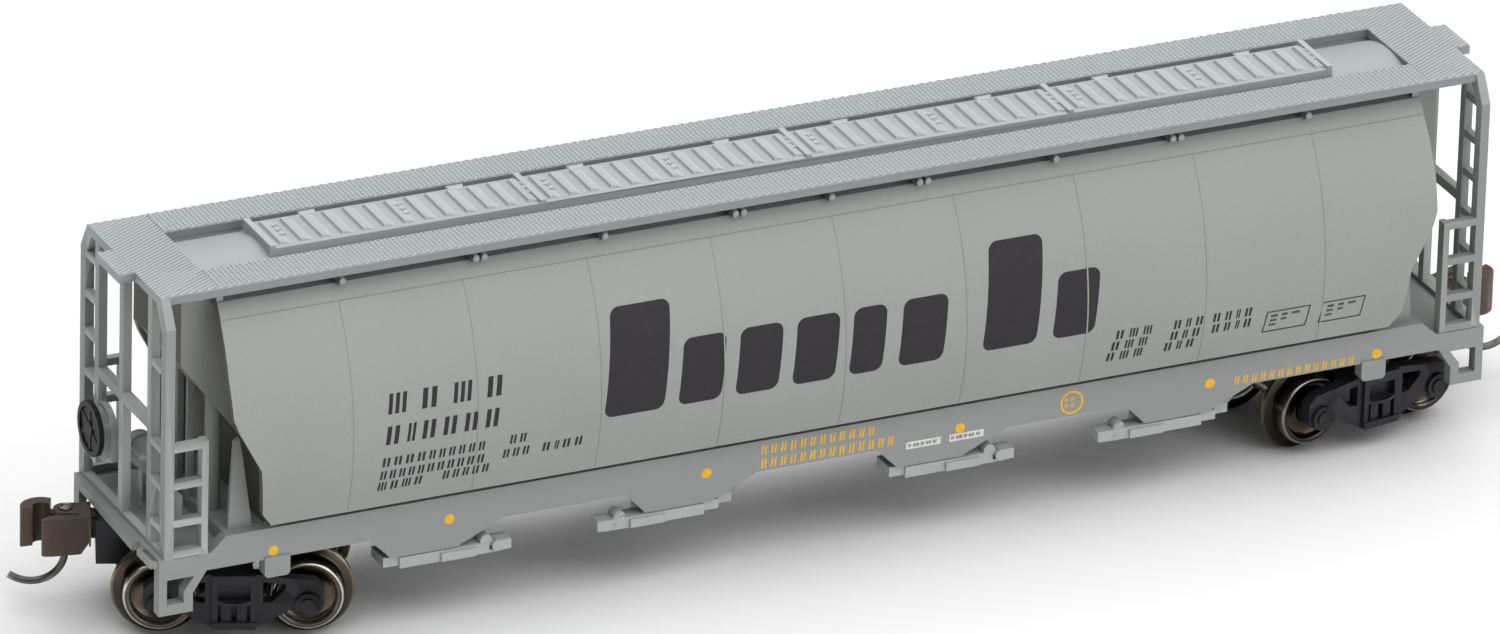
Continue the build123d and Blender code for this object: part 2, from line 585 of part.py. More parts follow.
def make_underframe():
    sill = make_side_sill()
    platform = make_platform()
    deck = block((-PLATFORM_INNER_X, PLATFORM_INNER_X), (-SILL_INNER, SILL_INNER),
                 (DECK_BOTTOM, SILL_TOP))
    centre_sill = block((-CENTRE_SILL_HALF_LENGTH, CENTRE_SILL_HALF_LENGTH),
                        (-CENTRE_SILL_HALF_WIDTH, CENTRE_SILL_HALF_WIDTH), (CENTRE_SILL_BOTTOM, DECK_BOTTOM))
    frame = joined([deck, centre_sill, sill, half_turn(sill), platform, half_turn(platform)])
    for centre in bay_centres():
        frame += make_bay_funnel(centre)
    for x in (-TRUCK_SPACING, TRUCK_SPACING):
        frame += make_bolster(x)
        frame -= rod("z", (x, 0), KINGPIN_RADIUS, 0, DECK_BOTTOM)
    return frame


def make_outlet_gate(centre, direction):
    """A sliding outlet gate with its side bars; the operating end points to +X when direction is 1.

    The bar at -Y runs from behind the funnel to the operating end, and the bar at +Y is the same
    bar turned half a turn for the opposite direction of the neighbouring bay.
    """
    near = make_gate_bar(direction)
    far = half_turn(make_gate_bar(-direction))
    slab = block((-GATE_SLAB_HALF_LENGTH, GATE_SLAB_HALF_LENGTH), (-SILL_INNER, SILL_INNER),
                 (GATE_SLAB_BOTTOM, TAB_BOTTOM))
    return Pos(centre, 0, 0) * joined([slab, near, far])


def make_gate_bar(direction):
    """The side bar of a gate at -Y, about its bay's centre."""
    bar = block(GATE_BAR_X, (-SILL_OUTER, -SILL_INNER + GATE_BAR_OVERLAP), (GATE_SLAB_BOTTOM, GATE_BAR_TOP))
    foot = block(GATE_FOOT_X, (-SILL_OUTER, -SILL_INNER + GATE_FOOT_OVERLAP), GATE_FOOT_Z)
    step = block(GATE_STEP_X, (-SILL_OUTER - GATE_STEP_PROUD, -SILL_INNER), (GATE_BOTTOM, GATE_STEP_TOP))
    tie = block(GATE_TIE_X, (-SILL_OUTER + GATE_TIE_INSET, -SILL_INNER + GATE_TIE_OVERLAP),
                (GATE_SLAB_BOTTOM, TAB_BOTTOM))
    lug = rod("y", GATE_LUG, GATE_LUG_RADIUS, -SILL_OUTER, -SILL_INNER)
    handle = block(GATE_HANDLE_X, (-SILL_OUTER - GATE_HANDLE_PROUD, -SILL_INNER), GATE_HANDLE_Z)
    handle = fillet(handle.edges().filter_by(Axis.Y).group_by(Axis.X)[0], GATE_HANDLE_CORNER)
    bar = joined([tie, bar, foot, step, lug, handle])
    if direction < 0:
        bar = bar.mirror(Plane.YZ)
    return Pos(GATE_BAR_SHIFT, 0, 0) * bar


# ------------------------------------------------------------------ end cages
def make_corner_post(side):
    """A corner post with the chamfer that meets the roof walk; side is -1 or 1 across the car."""
    inner = SILL_OUTER - CORNER_POST_WIDTH
    outline = [(inner, END_SILL_TOP), (SILL_OUTER, END_SILL_TOP), (SILL_OUTER, CHAMFER_BOTTOM_Z),
               (post_top_y(), ROOF_Z), (post_top_y() - CHAMFER_WIDTH, ROOF_Z),
               (inner, CHAMFER_BOTTOM_Z - CORNER_POST_WIDTH / 2)]
    return prism([(side * y, z) for y, z in outline], "x", -POST_OUTER_X,
                 -POST_OUTER_X + CORNER_POST_X)


def make_side_ladder(side):
    """The short ladder on a side of the car, from the corner post to its own inner rail."""
    rail_y = sorted((side * SILL_OUTER, side * (SILL_OUTER - LADDER_RAIL_DEPTH)))
    y = sorted((side * SILL_OUTER, side * (SILL_OUTER - SIDE_RUNG_DEPTH)))
    rail = block((-LADDER_RAIL_X[1], -LADDER_RAIL_X[0]), rail_y,
                 (END_SILL_TOP, SIDE_RUNGS_Z[-1] + RUNG_HEIGHT / 2))
    rungs = [
        block((-POST_OUTER_X + CORNER_POST_X / 2, -LADDER_RAIL_X[0]), y,
              (max(z - RUNG_HEIGHT / 2, END_SILL_TOP), z + RUNG_HEIGHT / 2))
        for z in SIDE_RUNGS_Z
    ]
    return joined([rail] + rungs)


def make_end_ladder(side, rungs_z):
    """Rungs between a corner post and the post beside it."""
    inner = NEAR_POST_Y if side < 0 else FAR_POST_Y
    y = sorted((inner, side * (SILL_OUTER - CORNER_POST_WIDTH / 2)))
    return joined([
        block((-POST_OUTER_X, -POST_OUTER_X + POST_DEPTH - RUNG_SETBACK), y,
              (z - RUNG_HEIGHT / 2, z + RUNG_HEIGHT / 2))
        for z in rungs_z
    ])


def make_end_post(y, foot=END_SILL_TOP):
    return block((-POST_OUTER_X, -POST_OUTER_X + POST_DEPTH),
                 (y - END_POST_WIDTH / 2, y + END_POST_WIDTH / 2), (foot, ROOF_Z))


def make_end_cage(middle_y):
    """The posts, beam and ladders at the -X end; the post at FAR_POST_Y is added by its own end."""
    depth = (-POST_OUTER_X, -POST_OUTER_X + POST_DEPTH)
    pieces = [make_corner_post(side) for side in (-1, 1)]
    pieces += [make_side_ladder(side) for side in (-1, 1)]
    pieces += [make_end_post(y) for y in (NEAR_POST_Y, middle_y)]
    pieces.append(block(depth, (NEAR_POST_Y, FAR_POST_Y), (BEAM_BOTTOM, BEAM_TOP)))
    kerb = SILL_OUTER - CORNER_POST_WIDTH / 2
    pieces.append(block(depth, (-kerb, kerb), (END_SILL_TOP, END_SILL_TOP + KERB_HEIGHT)))
    pieces.append(make_end_ladder(1, FULL_LADDER_Z))
    pieces.append(make_end_ladder(-1, SHORT_LADDER_Z))
    return joined(pieces)


def brake_plate(proud, front, back):
    """A slice of the brake housing: round above, flat below."""
    half = BRAKE_HOUSING_HALF_WIDTH + proud
    arch = rod("x", (BRAKE_Y, BRAKE_Z), half, -front, -back)
    return arch + block((-front, -back), (BRAKE_Y - half, BRAKE_Y + half),
                        (BRAKE_Z - BRAKE_HOUSING_DROP - proud, BRAKE_Z))


def make_brake_cage():
    """The cage at end a, whose far post carries the hand brake's housing and ends below it."""
    inside = POST_OUTER_X - POST_DEPTH / 2
    cage = joined([
        make_end_cage(MIDDLE_POST_Y_A),
        make_end_post(FAR_POST_Y, BRAKE_POST_BOTTOM),
        brake_plate(0, BRAKE_HOUSING_FRONT, inside),
        brake_plate(BRAKE_FLANGE_PROUD, BRAKE_FLANGE_FRONT, inside),
    ])
    return cage - rod("x", (BRAKE_Y, BRAKE_Z), BRAKE_STEM_RADIUS + RUNNING_GAP / 2,
                      -BRAKE_HOUSING_FRONT - 1, -POST_OUTER_X)


def make_brake_wheel():
    """The hand-brake wheel, with its web, its spokes and the stem that pushes into the housing."""
    back = -BRAKE_HOUSING_FRONT - RUNNING_GAP / 2
    front = back - BRAKE_WHEEL_THICKNESS
    middle = (front + back) / 2
    centre = (BRAKE_Y, BRAKE_Z)
    rim = rod("x", centre, BRAKE_WHEEL_RADIUS, front, back) - rod(
        "x", centre, BRAKE_WHEEL_RADIUS - BRAKE_RIM_WIDTH, front - 1, back + 1)
    hub = rod("x", centre, BRAKE_HUB_RADIUS, front, back)
    web = rod("x", centre, BRAKE_WHEEL_RADIUS - BRAKE_RIM_WIDTH / 2, middle - BRAKE_WEB_THICKNESS / 2,
              middle + BRAKE_WEB_THICKNESS / 2)
    spokes = [
        Pos(0, BRAKE_Y, BRAKE_Z) * Rot(360 / BRAKE_SPOKES * index, 0, 0)
        * block((front + BRAKE_SPOKE_INSET, back - BRAKE_SPOKE_INSET),
                (-BRAKE_SPOKE_WIDTH / 2, BRAKE_SPOKE_WIDTH / 2),
                (0, BRAKE_WHEEL_RADIUS - BRAKE_RIM_WIDTH / 2))
        for index in range(BRAKE_SPOKES)
    ]
    stem = rod("x", centre, BRAKE_STEM_RADIUS, middle, -POST_OUTER_X - BRAKE_STEM_GAP)
    return joined([rim, hub, web, stem] + spokes)


def make_brake_cylinder():
    """The air-brake cylinder that stands on the platform at end a."""
    def stand(half_length, y, top):
        return block((CYLINDER_X - half_length, CYLINDER_X + half_length), y, (END_SILL_TOP, top))

    axis = (CYLINDER_X, CYLINDER_Z)
    return joined([
        rod("y", axis, CYLINDER_RADIUS, *CYLINDER_Y),
        rod("y", axis, CYLINDER_RING_RADIUS, *CYLINDER_RING_Y),
        rod("y", axis, CYLINDER_NOSE_RADIUS, *CYLINDER_NOSE_Y),
        stand(CYLINDER_BRACKET_HALF_LENGTH, CYLINDER_BRACKET_Y, CYLINDER_Z),
        stand(CYLINDER_FOOT_HALF_LENGTH, CYLINDER_FOOT_Y, END_SILL_TOP + CYLINDER_FOOT_THICKNESS),
        stand(VALVE_HALF_LENGTH, VALVE_Y, VALVE_TOP),
        rod("y", (CYLINDER_X, PIPE_Z), PIPE_RADIUS, *PIPE_Y),
    ])


# ------------------------------------------------------------------ trucks, +X outboard
def make_side_frame():
    """The side frame at +Y with its windows, spring pocket, springs and bearing caps."""
    outline = SIDEFRAME_OUTLINE + [(-x, z) for x, z in reversed(SIDEFRAME_OUTLINE)]
    frame = prism(outline, "y", SIDEFRAME_INNER, SIDEFRAME_OUTER)
    for mirror in (1, -1):
        opening = [(mirror * x, z) for x, z in SIDEFRAME_WINDOW]
        frame -= prism(opening, "y", SIDEFRAME_INNER - 1, SIDEFRAME_OUTER + 1)
    width = (-SPRING_BLOCK_HALF_WIDTH, SPRING_BLOCK_HALF_WIDTH)
    frame += block(width, (SIDEFRAME_INNER, SIDEFRAME_OUTER + SPRING_BLOCK_PROUD),
                   (SPRING_BLOCK_BOTTOM, SIDEFRAME_TOP))
    for pocket_z in (BOLSTER_POCKET_Z, SPRING_POCKET_Z):
        frame -= block((-POCKET_HALF_WIDTH, POCKET_HALF_WIDTH),
                       (SIDEFRAME_OUTER - POCKET_DEPTH, SIDEFRAME_OUTER + 1), pocket_z)
    for x in SPRING_X:
        frame += block((x - SPRING_WIDTH / 2, x + SPRING_WIDTH / 2),
                       (SIDEFRAME_INNER, SIDEFRAME_OUTER + SPRING_PROUD),
                       (SPRING_BLOCK_BOTTOM, SPRING_SHELF_Z[0]))
    shelf_y = SIDEFRAME_OUTER + SPRING_SHELF_PROUD - SPRING_SHELF_RADIUS
    shelf = rod("z", (0, shelf_y), SPRING_SHELF_RADIUS, *SPRING_SHELF_Z)
    frame += shelf & block(width, (SIDEFRAME_INNER, SIDEFRAME_OUTER + 1), SPRING_SHELF_Z)
    frame += block(width, (SIDEFRAME_INNER, SIDEFRAME_OUTER + SPRING_PLANK_PROUD),
                   (SIDEFRAME_OUTLINE[0][1], SPRING_PLANK_TOP))
    for x in (-HALF_WHEELBASE, HALF_WHEELBASE):
        centre = (x, TREAD_RADIUS)
        frame += rod("y", centre, BEARING_RADIUS, SIDEFRAME_INNER, SIDEFRAME_OUTER + BEARING_PROUD)
        frame += rod("y", centre, BEARING_CAP_RADIUS, SIDEFRAME_INNER, SIDEFRAME_OUTER + BEARING_CAP_PROUD)
        pocket = Cone(CONE_POCKET_MOUTH, CONE_POCKET_TIP, CONE_POCKET_DEPTH)
        frame -= Pos(x, SIDEFRAME_INNER + CONE_POCKET_DEPTH / 2, TREAD_RADIUS) * Rot(-90, 0, 0) * pocket
    return frame


def make_truck_frame():
    """Bolster, side frames and coupler box in one moulding."""
    side = make_side_frame()
    reach = SIDEFRAME_INNER + SIDEFRAME_OVERLAP
    bolster = block((-BOLSTER_HALF_WIDTH, BOLSTER_HALF_WIDTH), (-reach, reach), (BOLSTER_BOTTOM, BOLSTER_TOP))
    plate = rod("z", (0, 0), CENTRE_PLATE_RADIUS, BOLSTER_BOTTOM, CENTRE_PLATE_TOP)
    tongue = block(BOX_TONGUE_X, (-BOX_TONGUE_HALF_WIDTH, BOX_TONGUE_HALF_WIDTH),
                   (BOX_TONGUE_BOTTOM, BOLSTER_TOP))
    box = block((BOX_BACK, BOX_FRONT), (-BOX_HALF_WIDTH, BOX_HALF_WIDTH), (BOX_BOTTOM, BOX_CAVITY_TOP))
    inner = BOX_HALF_WIDTH - BOX_WALL
    box -= block((BOX_BACK + BOX_WALL, BOX_FRONT + 1), (-inner, inner), (BOX_CAVITY_FLOOR, BOX_TOP))
    post = rod("z", (COUPLER_PIVOT, 0), PIVOT_POST_RADIUS, BOX_BOTTOM + BOX_WALL, BOX_CAVITY_TOP)
    frame = joined([side, half_turn(side), bolster, plate, tongue, box, post])
    return frame - rod("z", (0, 0), KINGPIN_RADIUS + RUNNING_GAP, 0, ROOF_Z)


def make_kingpin():
    """The push-in pin that holds a truck to the underframe, headed below the truck's bolster."""
    shank = rod("z", (0, 0), KINGPIN_RADIUS, KINGPIN_BOTTOM, KINGPIN_TOP)
    head = rod("z", (0, 0), KINGPIN_HEAD_RADIUS, KINGPIN_BOTTOM, BOLSTER_BOTTOM - RUNNING_GAP)
    return shank + chamfer(head.edges().group_by(Axis.Z)[0], KINGPIN_CHAMFER)


def make_axle():
    shaft = rod("y", (0, TREAD_RADIUS), AXLE_RADIUS, -AXLE_SHOULDER, AXLE_SHOULDER)
    length = AXLE_TIP - AXLE_SHOULDER
    point = Pos(0, AXLE_SHOULDER + length / 2, TREAD_RADIUS) * Rot(-90, 0, 0) * Cone(
        CONE_RADIUS, AXLE_POINT_TIP, length)
    return joined([shaft, point, half_turn(point)])


def make_wheel():
    """The wheel at +Y: coned tread, rounded flange, a raised rim and a dished web on its face."""
    profile = [
        (AXLE_RADIUS, WHEEL_BACK), (FLANGE_RADIUS - 0.3, WHEEL_BACK), (FLANGE_RADIUS, WHEEL_BACK + 0.22),
        (FLANGE_RADIUS - 0.06, WHEEL_BACK + 0.38), (TREAD_RADIUS + 0.12, WHEEL_BACK + FLANGE_WIDTH),
        (TREAD_RADIUS, WHEEL_BACK + FLANGE_WIDTH + 0.15), (TREAD_RADIUS - 0.06, WHEEL_FACE - 0.1),
        (TREAD_RADIUS - 0.16, WHEEL_FACE), (2.3, WHEEL_FACE), (2.16, WHEEL_FACE - 0.45),
        (1.15, WHEEL_FACE - 0.62), (1.05, WHEEL_FACE - 0.15), (AXLE_RADIUS, WHEEL_FACE - 0.1),
    ]
    outline = make_face(Polyline(*[(radius, y, 0) for radius, y in profile], close=True))
    return Pos(0, 0, TREAD_RADIUS) * revolve(outline, Axis.Y)


# ------------------------------------------------------------------ couplers, +X outboard
def make_coupler_cover():
    """The lid of the coupler box."""
    lid = block((BOX_BACK, BOX_FRONT), (-BOX_HALF_WIDTH, BOX_HALF_WIDTH), (BOX_CAVITY_TOP, BOX_TOP))
    return fillet(lid.edges().filter_by(Axis.Z).group_by(Axis.X)[-1], BOX_COVER_CORNER)


def make_coupler():
    """Shank, upper bar, head and guard arm, with the fork that the knuckle turns in."""
    pin_x, pin_y = KNUCKLE_PIVOT
    tail = rod("z", (COUPLER_PIVOT, 0), SHANK_EYE_RADIUS, *SHANK_Z)
    shank = block((COUPLER_PIVOT, SHANK_END_X), (-SHANK_HALF_WIDTH, SHANK_HALF_WIDTH), SHANK_Z)
    bar = rod("z", (COUPLER_PIVOT, 0), UPPER_BAR_EYE_RADIUS, SHANK_Z[0], UPPER_BAR_Z[1])
    bar += block((COUPLER_PIVOT, SHANK_END_X), (-UPPER_BAR_HALF_WIDTH, UPPER_BAR_HALF_WIDTH), UPPER_BAR_Z)
    head = block(HEAD_X, HEAD_Y, (HEAD_BLOCK_BOTTOM, HEAD_TOP))
    fork = [
        rod("z", (pin_x, pin_y), FORK_RADIUS, *z)
        + block((SHANK_END_X, pin_x), (pin_y - FORK_RADIUS, pin_y + FORK_RADIUS), z)
        for z in FORK_Z
    ]
    guard = prism(GUARD_PLAN, "z", HEAD_BOTTOM, HEAD_TOP)
    heel = prism(HEAD_HEEL, "y", -BOX_FRONT, BOX_FRONT)
    coupler = joined([tail, shank, bar, head, guard] + fork) - heel
    coupler -= rod("z", (COUPLER_PIVOT, 0), PIVOT_POST_RADIUS + RUNNING_GAP, 0, ROOF_Z)
    return coupler - rod("z", KNUCKLE_PIVOT, TRIP_PIN_RADIUS + TRIP_PIN_PLAY, 0, ROOF_Z)


def make_knuckle():
    """The hook that closes on the mating coupler, with the eye that the trip pin holds."""
    pin_x, pin_y = KNUCKLE_PIVOT
    hook = prism(HOOK_PLAN, "z", *HOOK_Z) - prism(HOOK_NOTCH, "y", -BOX_FRONT, BOX_FRONT)
    eye = rod("z", KNUCKLE_PIVOT, KNUCKLE_EYE_RADIUS, *KNUCKLE_EYE_Z)
    arm_plan = [(pin_x, pin_y - KNUCKLE_EYE_RADIUS), (KNUCKLE_ARM_X, KNUCKLE_ARM_Y[0]),
                (KNUCKLE_ARM_X, KNUCKLE_ARM_Y[1]), (pin_x + TRIP_PIN_RADIUS, pin_y + KNUCKLE_EYE_RADIUS / 2)]
    arm = prism(arm_plan, "z", *KNUCKLE_EYE_Z)
    return joined([hook, eye, arm]) - rod("z", KNUCKLE_PIVOT, TRIP_PIN_RADIUS, 0, ROOF_Z)


def make_trip_pin():
    """The curved wire below the coupler head, on which the knuckle turns."""
    radius = TRIP_PIN_BEND_RADIUS
    start = Vector(0, 0, TRIP_PIN_TOP)
    bend = Vector(0, 0, TRIP_PIN_BEND_Z)
    sweep_angle = math.radians(TRIP_PIN_SWEEP)
    middle, end = [
        Vector(radius - radius * math.cos(angle), 0, TRIP_PIN_BEND_Z - radius * math.sin(angle))
        for angle in (sweep_angle / 2, sweep_angle)
    ]
    route = Wire([Line(start, bend).edge(), ThreePointArc(bend, middle, end).edge()])
    wire = sweep(Plane(start, z_dir=(0, 0, -1)) * Circle(TRIP_PIN_RADIUS), path=route)
    return Pos(*KNUCKLE_PIVOT) * Rot(0, 0, TRIP_PIN_TURN) * wire


def make_centering_spring():
    """The coil behind the coupler's tail, as the closed tube that it fills."""
    start, end = SPRING_COIL_X
    coil = rod("x", (0, SPRING_AXIS_Z), SPRING_COIL_RADIUS, start, end)
    return coil - rod("x", (0, SPRING_AXIS_Z), SPRING_COIL_BORE, start - 1, end + 1)


# ------------------------------------------------------------------ export
def export(name, shape):
    lifted = Pos(0, 0, FLANGE_DEPTH) * shape
    export_step(lifted, os.path.join("parts", name + ".step"))


def main():
    os.makedirs("parts", exist_ok=True)
    body = make_body_shell()
    export("body_shell", body)
    export("ballast_weight", make_ballast_weight())
    export("roof_walk", make_roof_walk())
    export("roof_hatches", make_roof_hatches(body))
    export("underframe", make_underframe())
    for index, centre in enumerate(bay_centres()):
        export(f"outlet_gate_{index + 1}", make_outlet_gate(centre, 1 if index % 2 == 0 else -1))

    export("end_cage_a", make_brake_cage())
    export("end_cage_b", half_turn(make_end_cage(MIDDLE_POST_Y_B) + make_end_post(FAR_POST_Y)))
    export("brake_wheel", make_brake_wheel())
    export("brake_cylinder", make_brake_cylinder())

    truck_frame = make_truck_frame()
    wheel = make_wheel()
    axle = make_axle()
    for end, turn, swivel in (("a", 180, SWIVEL_A), ("b", 0, SWIVEL_B)):
        outward = -1 if end == "a" else 1
        centre = Pos(outward * TRUCK_SPACING, 0, 0)
        truck = centre * Rot(0, 0, turn + swivel)
        export(f"kingpin_{end}", centre * make_kingpin())
        export(f"truck_frame_{end}", truck * truck_frame)
        for place, x in (("outer", HALF_WHEELBASE), ("inner", -HALF_WHEELBASE)):
            export(f"axle_{end}_{place}", truck * Pos(x, 0, 0) * axle)
            export(f"wheel_{end}_{place}_left", truck * Pos(x, 0, 0) * wheel)
            export(f"wheel_{end}_{place}_right", truck * Pos(x, 0, 0) * half_turn(wheel))
        export(f"coupler_cover_{end}", truck * make_coupler_cover())
        export(f"coupler_{end}", truck * make_coupler())
        export(f"knuckle_{end}", truck * make_knuckle())
        export(f"trip_pin_{end}", truck * make_trip_pin())
        export(f"centering_spring_{end}", truck * make_centering_spring())


main()
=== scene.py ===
"""The look of an N scale four-bay covered hopper car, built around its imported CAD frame."""
import math

import bmesh
import bpy
from mathutils import Matrix, Vector


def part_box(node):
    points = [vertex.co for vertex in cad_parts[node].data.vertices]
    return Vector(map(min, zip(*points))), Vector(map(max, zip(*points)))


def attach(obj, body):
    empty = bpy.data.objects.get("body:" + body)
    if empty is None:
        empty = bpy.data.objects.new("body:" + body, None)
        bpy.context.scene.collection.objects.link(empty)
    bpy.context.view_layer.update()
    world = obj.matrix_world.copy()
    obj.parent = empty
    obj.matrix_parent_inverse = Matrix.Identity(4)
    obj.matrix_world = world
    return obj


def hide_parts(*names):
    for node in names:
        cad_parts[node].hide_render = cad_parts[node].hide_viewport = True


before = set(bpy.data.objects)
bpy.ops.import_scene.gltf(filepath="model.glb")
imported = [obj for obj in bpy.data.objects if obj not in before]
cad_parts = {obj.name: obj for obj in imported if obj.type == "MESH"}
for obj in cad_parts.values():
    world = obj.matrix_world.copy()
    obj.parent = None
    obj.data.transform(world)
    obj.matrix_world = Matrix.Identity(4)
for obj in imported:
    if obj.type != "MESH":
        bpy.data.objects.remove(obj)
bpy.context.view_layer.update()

# Sizes are in millimetres. X runs along the car, Y across it, and heights are above the rail head.
MM = 0.001
FLANGE_DEPTH = 0.86
RAIL_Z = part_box("wheel_a_outer_left")[0].z + FLANGE_DEPTH * MM


def box_mm(node):
    """A CAD node's lowest and highest corners in millimetres, with heights above the rail head."""
    lift = Vector((0, 0, RAIL_Z))
    low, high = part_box(node)
    return (low - lift) / MM, (high - lift) / MM


def centre_of(node):
    low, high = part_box(node)
    return (low + high) / 2


# ------------------------------------------------------------------ driving sizes
WALK_HIGH = box_mm("roof_walk")[1]
HATCH_LOW, HATCH_HIGH = box_mm("roof_hatches")
WALK_END_X = 56.0              # the walk without the tab in the middle of each end
WALK_OPENING_X = 51.2
WALK_OPENING_Y = 3.6
WALK_TAB_Y = 2.2
WALK_HALF_WIDTH = 7.2          # the walk without the wedges on its end posts
SIDE_RADIUS = 18.36            # the curved side: radius, and its centre's place beyond the centre line
SIDE_CENTRE_OFFSET = 8.2
SIDE_CENTRE_Z = 16.5
RECESS_Y = 5.2                 # the body's neck under the edge of the roof walk
LEDGE_Z = 28.2                 # the top of each side, which is the bottom of that recess
SILL_Y = 8.39
HATCH_TOP = 30.1
HATCH_COUNT = 4

# ------------------------------------------------------------------ places
CAR = Matrix.Translation((0, 0, RAIL_Z)) @ Matrix.Scale(MM, 4)
HALF_TURN = Matrix.Rotation(math.pi, 4, "Z")
SIDES = {"near": CAR, "far": HALF_TURN @ CAR}


def truck_place(end):
    """A truck's own frame, with +X outboard, from where its two axles stand."""
    outer = centre_of(f"axle_{end}_outer")
    inner = centre_of(f"axle_{end}_inner")
    along = outer - inner
    middle = (outer + inner) / 2
    turn = Matrix.Rotation(math.atan2(along.y, along.x), 4, "Z")
    return Matrix.Translation((middle.x, middle.y, RAIL_Z)) @ turn @ Matrix.Scale(MM, 4)


TRUCKS = {end: truck_place(end) for end in "ab"}


# ------------------------------------------------------------------ materials
def colour(red, green, blue):
    """A display colour, 0 to 255, as the linear colour that a shader takes."""
    values = [c / 255 for c in (red, green, blue)]
    return tuple(c / 12.92 if c <= 0.04045 else ((c + 0.055) / 1.055) ** 2.4 for c in values) + (1,)


def shade(base, factor):
    return tuple(c * factor for c in base[:3]) + (1,)


PAINT_CLOUD = 9.0              # sizes of a paint's features
PAINT_GRAIN = 0.12
PAINT_SPECK = 0.35
GRAIN_DEPTH = 0.012
WEAR_START = 0.505             # how convex an edge is where its wear starts, and where it is bare
WEAR_FULL = 0.6
END_SHADE_START = 0.35          # how far a face looks along the car where its painted shade starts, and where it is full
END_SHADE_FULL = 0.75
PAINTED_LIGHT_START = 0.2              # above the ledge, where the painted light on the top starts, and where it is full
PAINTED_LIGHT_FULL = 0.6


class Finish:
    """A node material on the object's own coordinates, which are the car's, in metres."""

    def __init__(self, name, roughness=0.5, metallic=0.0, specular=0.5):
        self.material = bpy.data.materials.new(name)
        self.material.use_nodes = True
        self.tree = self.material.node_tree
        self.shader = self.tree.nodes["Principled BSDF"]
        self.shader.inputs["Roughness"].default_value = roughness
        self.shader.inputs["Metallic"].default_value = metallic
        self.shader.inputs["Specular IOR Level"].default_value = specular
        self.place = self.node("ShaderNodeTexCoord").outputs["Object"]
        self.height = None

    def node(self, kind, **inputs):
        made = self.tree.nodes.new(kind)
        for socket, value in inputs.items():
            self.put(made.inputs[socket.replace("_", " ")], value)
        return made

    def put(self, socket, value):
        if isinstance(value, bpy.types.NodeSocket):
            self.tree.links.new(value, socket)
        else:
            socket.default_value = value

    def noise(self, size, detail=4.0, stretch=(1, 1, 1)):
        """Noise whose features are about size millimetres across, from 0 to 1."""
        mapping = self.node("ShaderNodeMapping", Vector=self.place)
        mapping.inputs["Scale"].default_value = stretch
        made = self.node("ShaderNodeTexNoise", Vector=mapping.outputs["Vector"],
                         Scale=1 / (size * MM), Detail=detail)
        return made.outputs["Fac"]

    def spread(self, value, low, high, start=0.3, stop=0.7):
        made = self.node("ShaderNodeMapRange", Value=value)
        made.inputs["From Min"].default_value = start
        made.inputs["From Max"].default_value = stop
        made.inputs["To Min"].default_value = low
        made.inputs["To Max"].default_value = high
        return made.outputs["Result"]

    def mix(self, factor, first, second, blend="MIX"):
        made = self.tree.nodes.new("ShaderNodeMix")
        made.data_type = "RGBA"
        made.blend_type = blend
        self.put(made.inputs[0], factor)
        self.put(made.inputs[6], first)
        self.put(made.inputs[7], second)
        return made.outputs[2]

    def bump(self, value, depth, strength=1.0):
        made = self.node("ShaderNodeBump", Height=value, Distance=depth * MM, Strength=strength)
        if self.height is not None:
            self.tree.links.new(self.height, made.inputs["Normal"])
        self.height = made.outputs["Normal"]
        self.tree.links.new(self.height, self.shader.inputs["Normal"])

    def edges(self):
        """How convex the surface is, from 0 in the open to 1 on a worn edge."""
        pointiness = self.node("ShaderNodeNewGeometry").outputs["Pointiness"]
        return self.spread(pointiness, 0, 1, WEAR_START, WEAR_FULL)

    def above_sides(self):
        """0 up to the top of the car's sides and 1 above it, where painted light goes on the top."""
        height = self.node("ShaderNodeSeparateXYZ", Vector=self.place).outputs["Z"]
        ledge = RAIL_Z + LEDGE_Z * MM
        return self.spread(height, 0, 1, ledge + PAINTED_LIGHT_START * MM, ledge + PAINTED_LIGHT_FULL * MM)

    def facing_ends(self):
        """1 on the faces that look along the car and 0 elsewhere; it places the painted shade on the ends.
        """
        facing = self.node("ShaderNodeTexCoord").outputs["Normal"]
        normal = self.node("ShaderNodeSeparateXYZ", Vector=facing)
        along = self.node("ShaderNodeMath")
        along.operation = "ABSOLUTE"
        self.put(along.inputs[0], normal.outputs["X"])
        return self.spread(along.outputs["Value"], 0, 1, END_SHADE_START, END_SHADE_FULL)

    def done(self, base):
        self.put(self.shader.inputs["Base Color"], base)
        return self.material


def painted_plastic(name, base, worn=None, roughness=0.5, specular=0.4, painted_top_light=None, painted_end_shade=None):
    """Moulded and painted styrene: a fine eggshell grain, faint clouding and paler worn edges.

    The colour mixed in above the sides is painted light on the top, and the one mixed in on the faces
    that look along the car is painted shade on them.
    """
    finish = Finish(name, specular=specular)
    cloud = finish.noise(PAINT_CLOUD, 3.0)
    grain = finish.noise(PAINT_GRAIN, 2.0)
    speck = finish.noise(PAINT_SPECK, 3.0)
    tone = finish.mix(finish.spread(cloud, 0, 1), shade(base, 0.95), shade(base, 1.04))
    tone = finish.mix(finish.spread(grain, 0.0, 0.35), tone, shade(base, 0.86))
    tone = finish.mix(finish.spread(speck, 0, 0.16, 0.55, 0.75), tone, shade(base, 0.7))
    if worn:
        tone = finish.mix(finish.edges(), tone, worn)
    # painted light: a lighter colour on what rises above the sides
    if painted_top_light:
        tone = finish.mix(finish.above_sides(), tone, painted_top_light)
    # painted shade: a darker colour on the faces that look along the car
    if painted_end_shade:
        tone = finish.mix(finish.facing_ends(), tone, painted_end_shade)
    finish.put(finish.shader.inputs["Roughness"], finish.spread(cloud, roughness - 0.06, roughness + 0.08))
    finish.bump(grain, GRAIN_DEPTH, 0.7)
    return finish.done(tone)


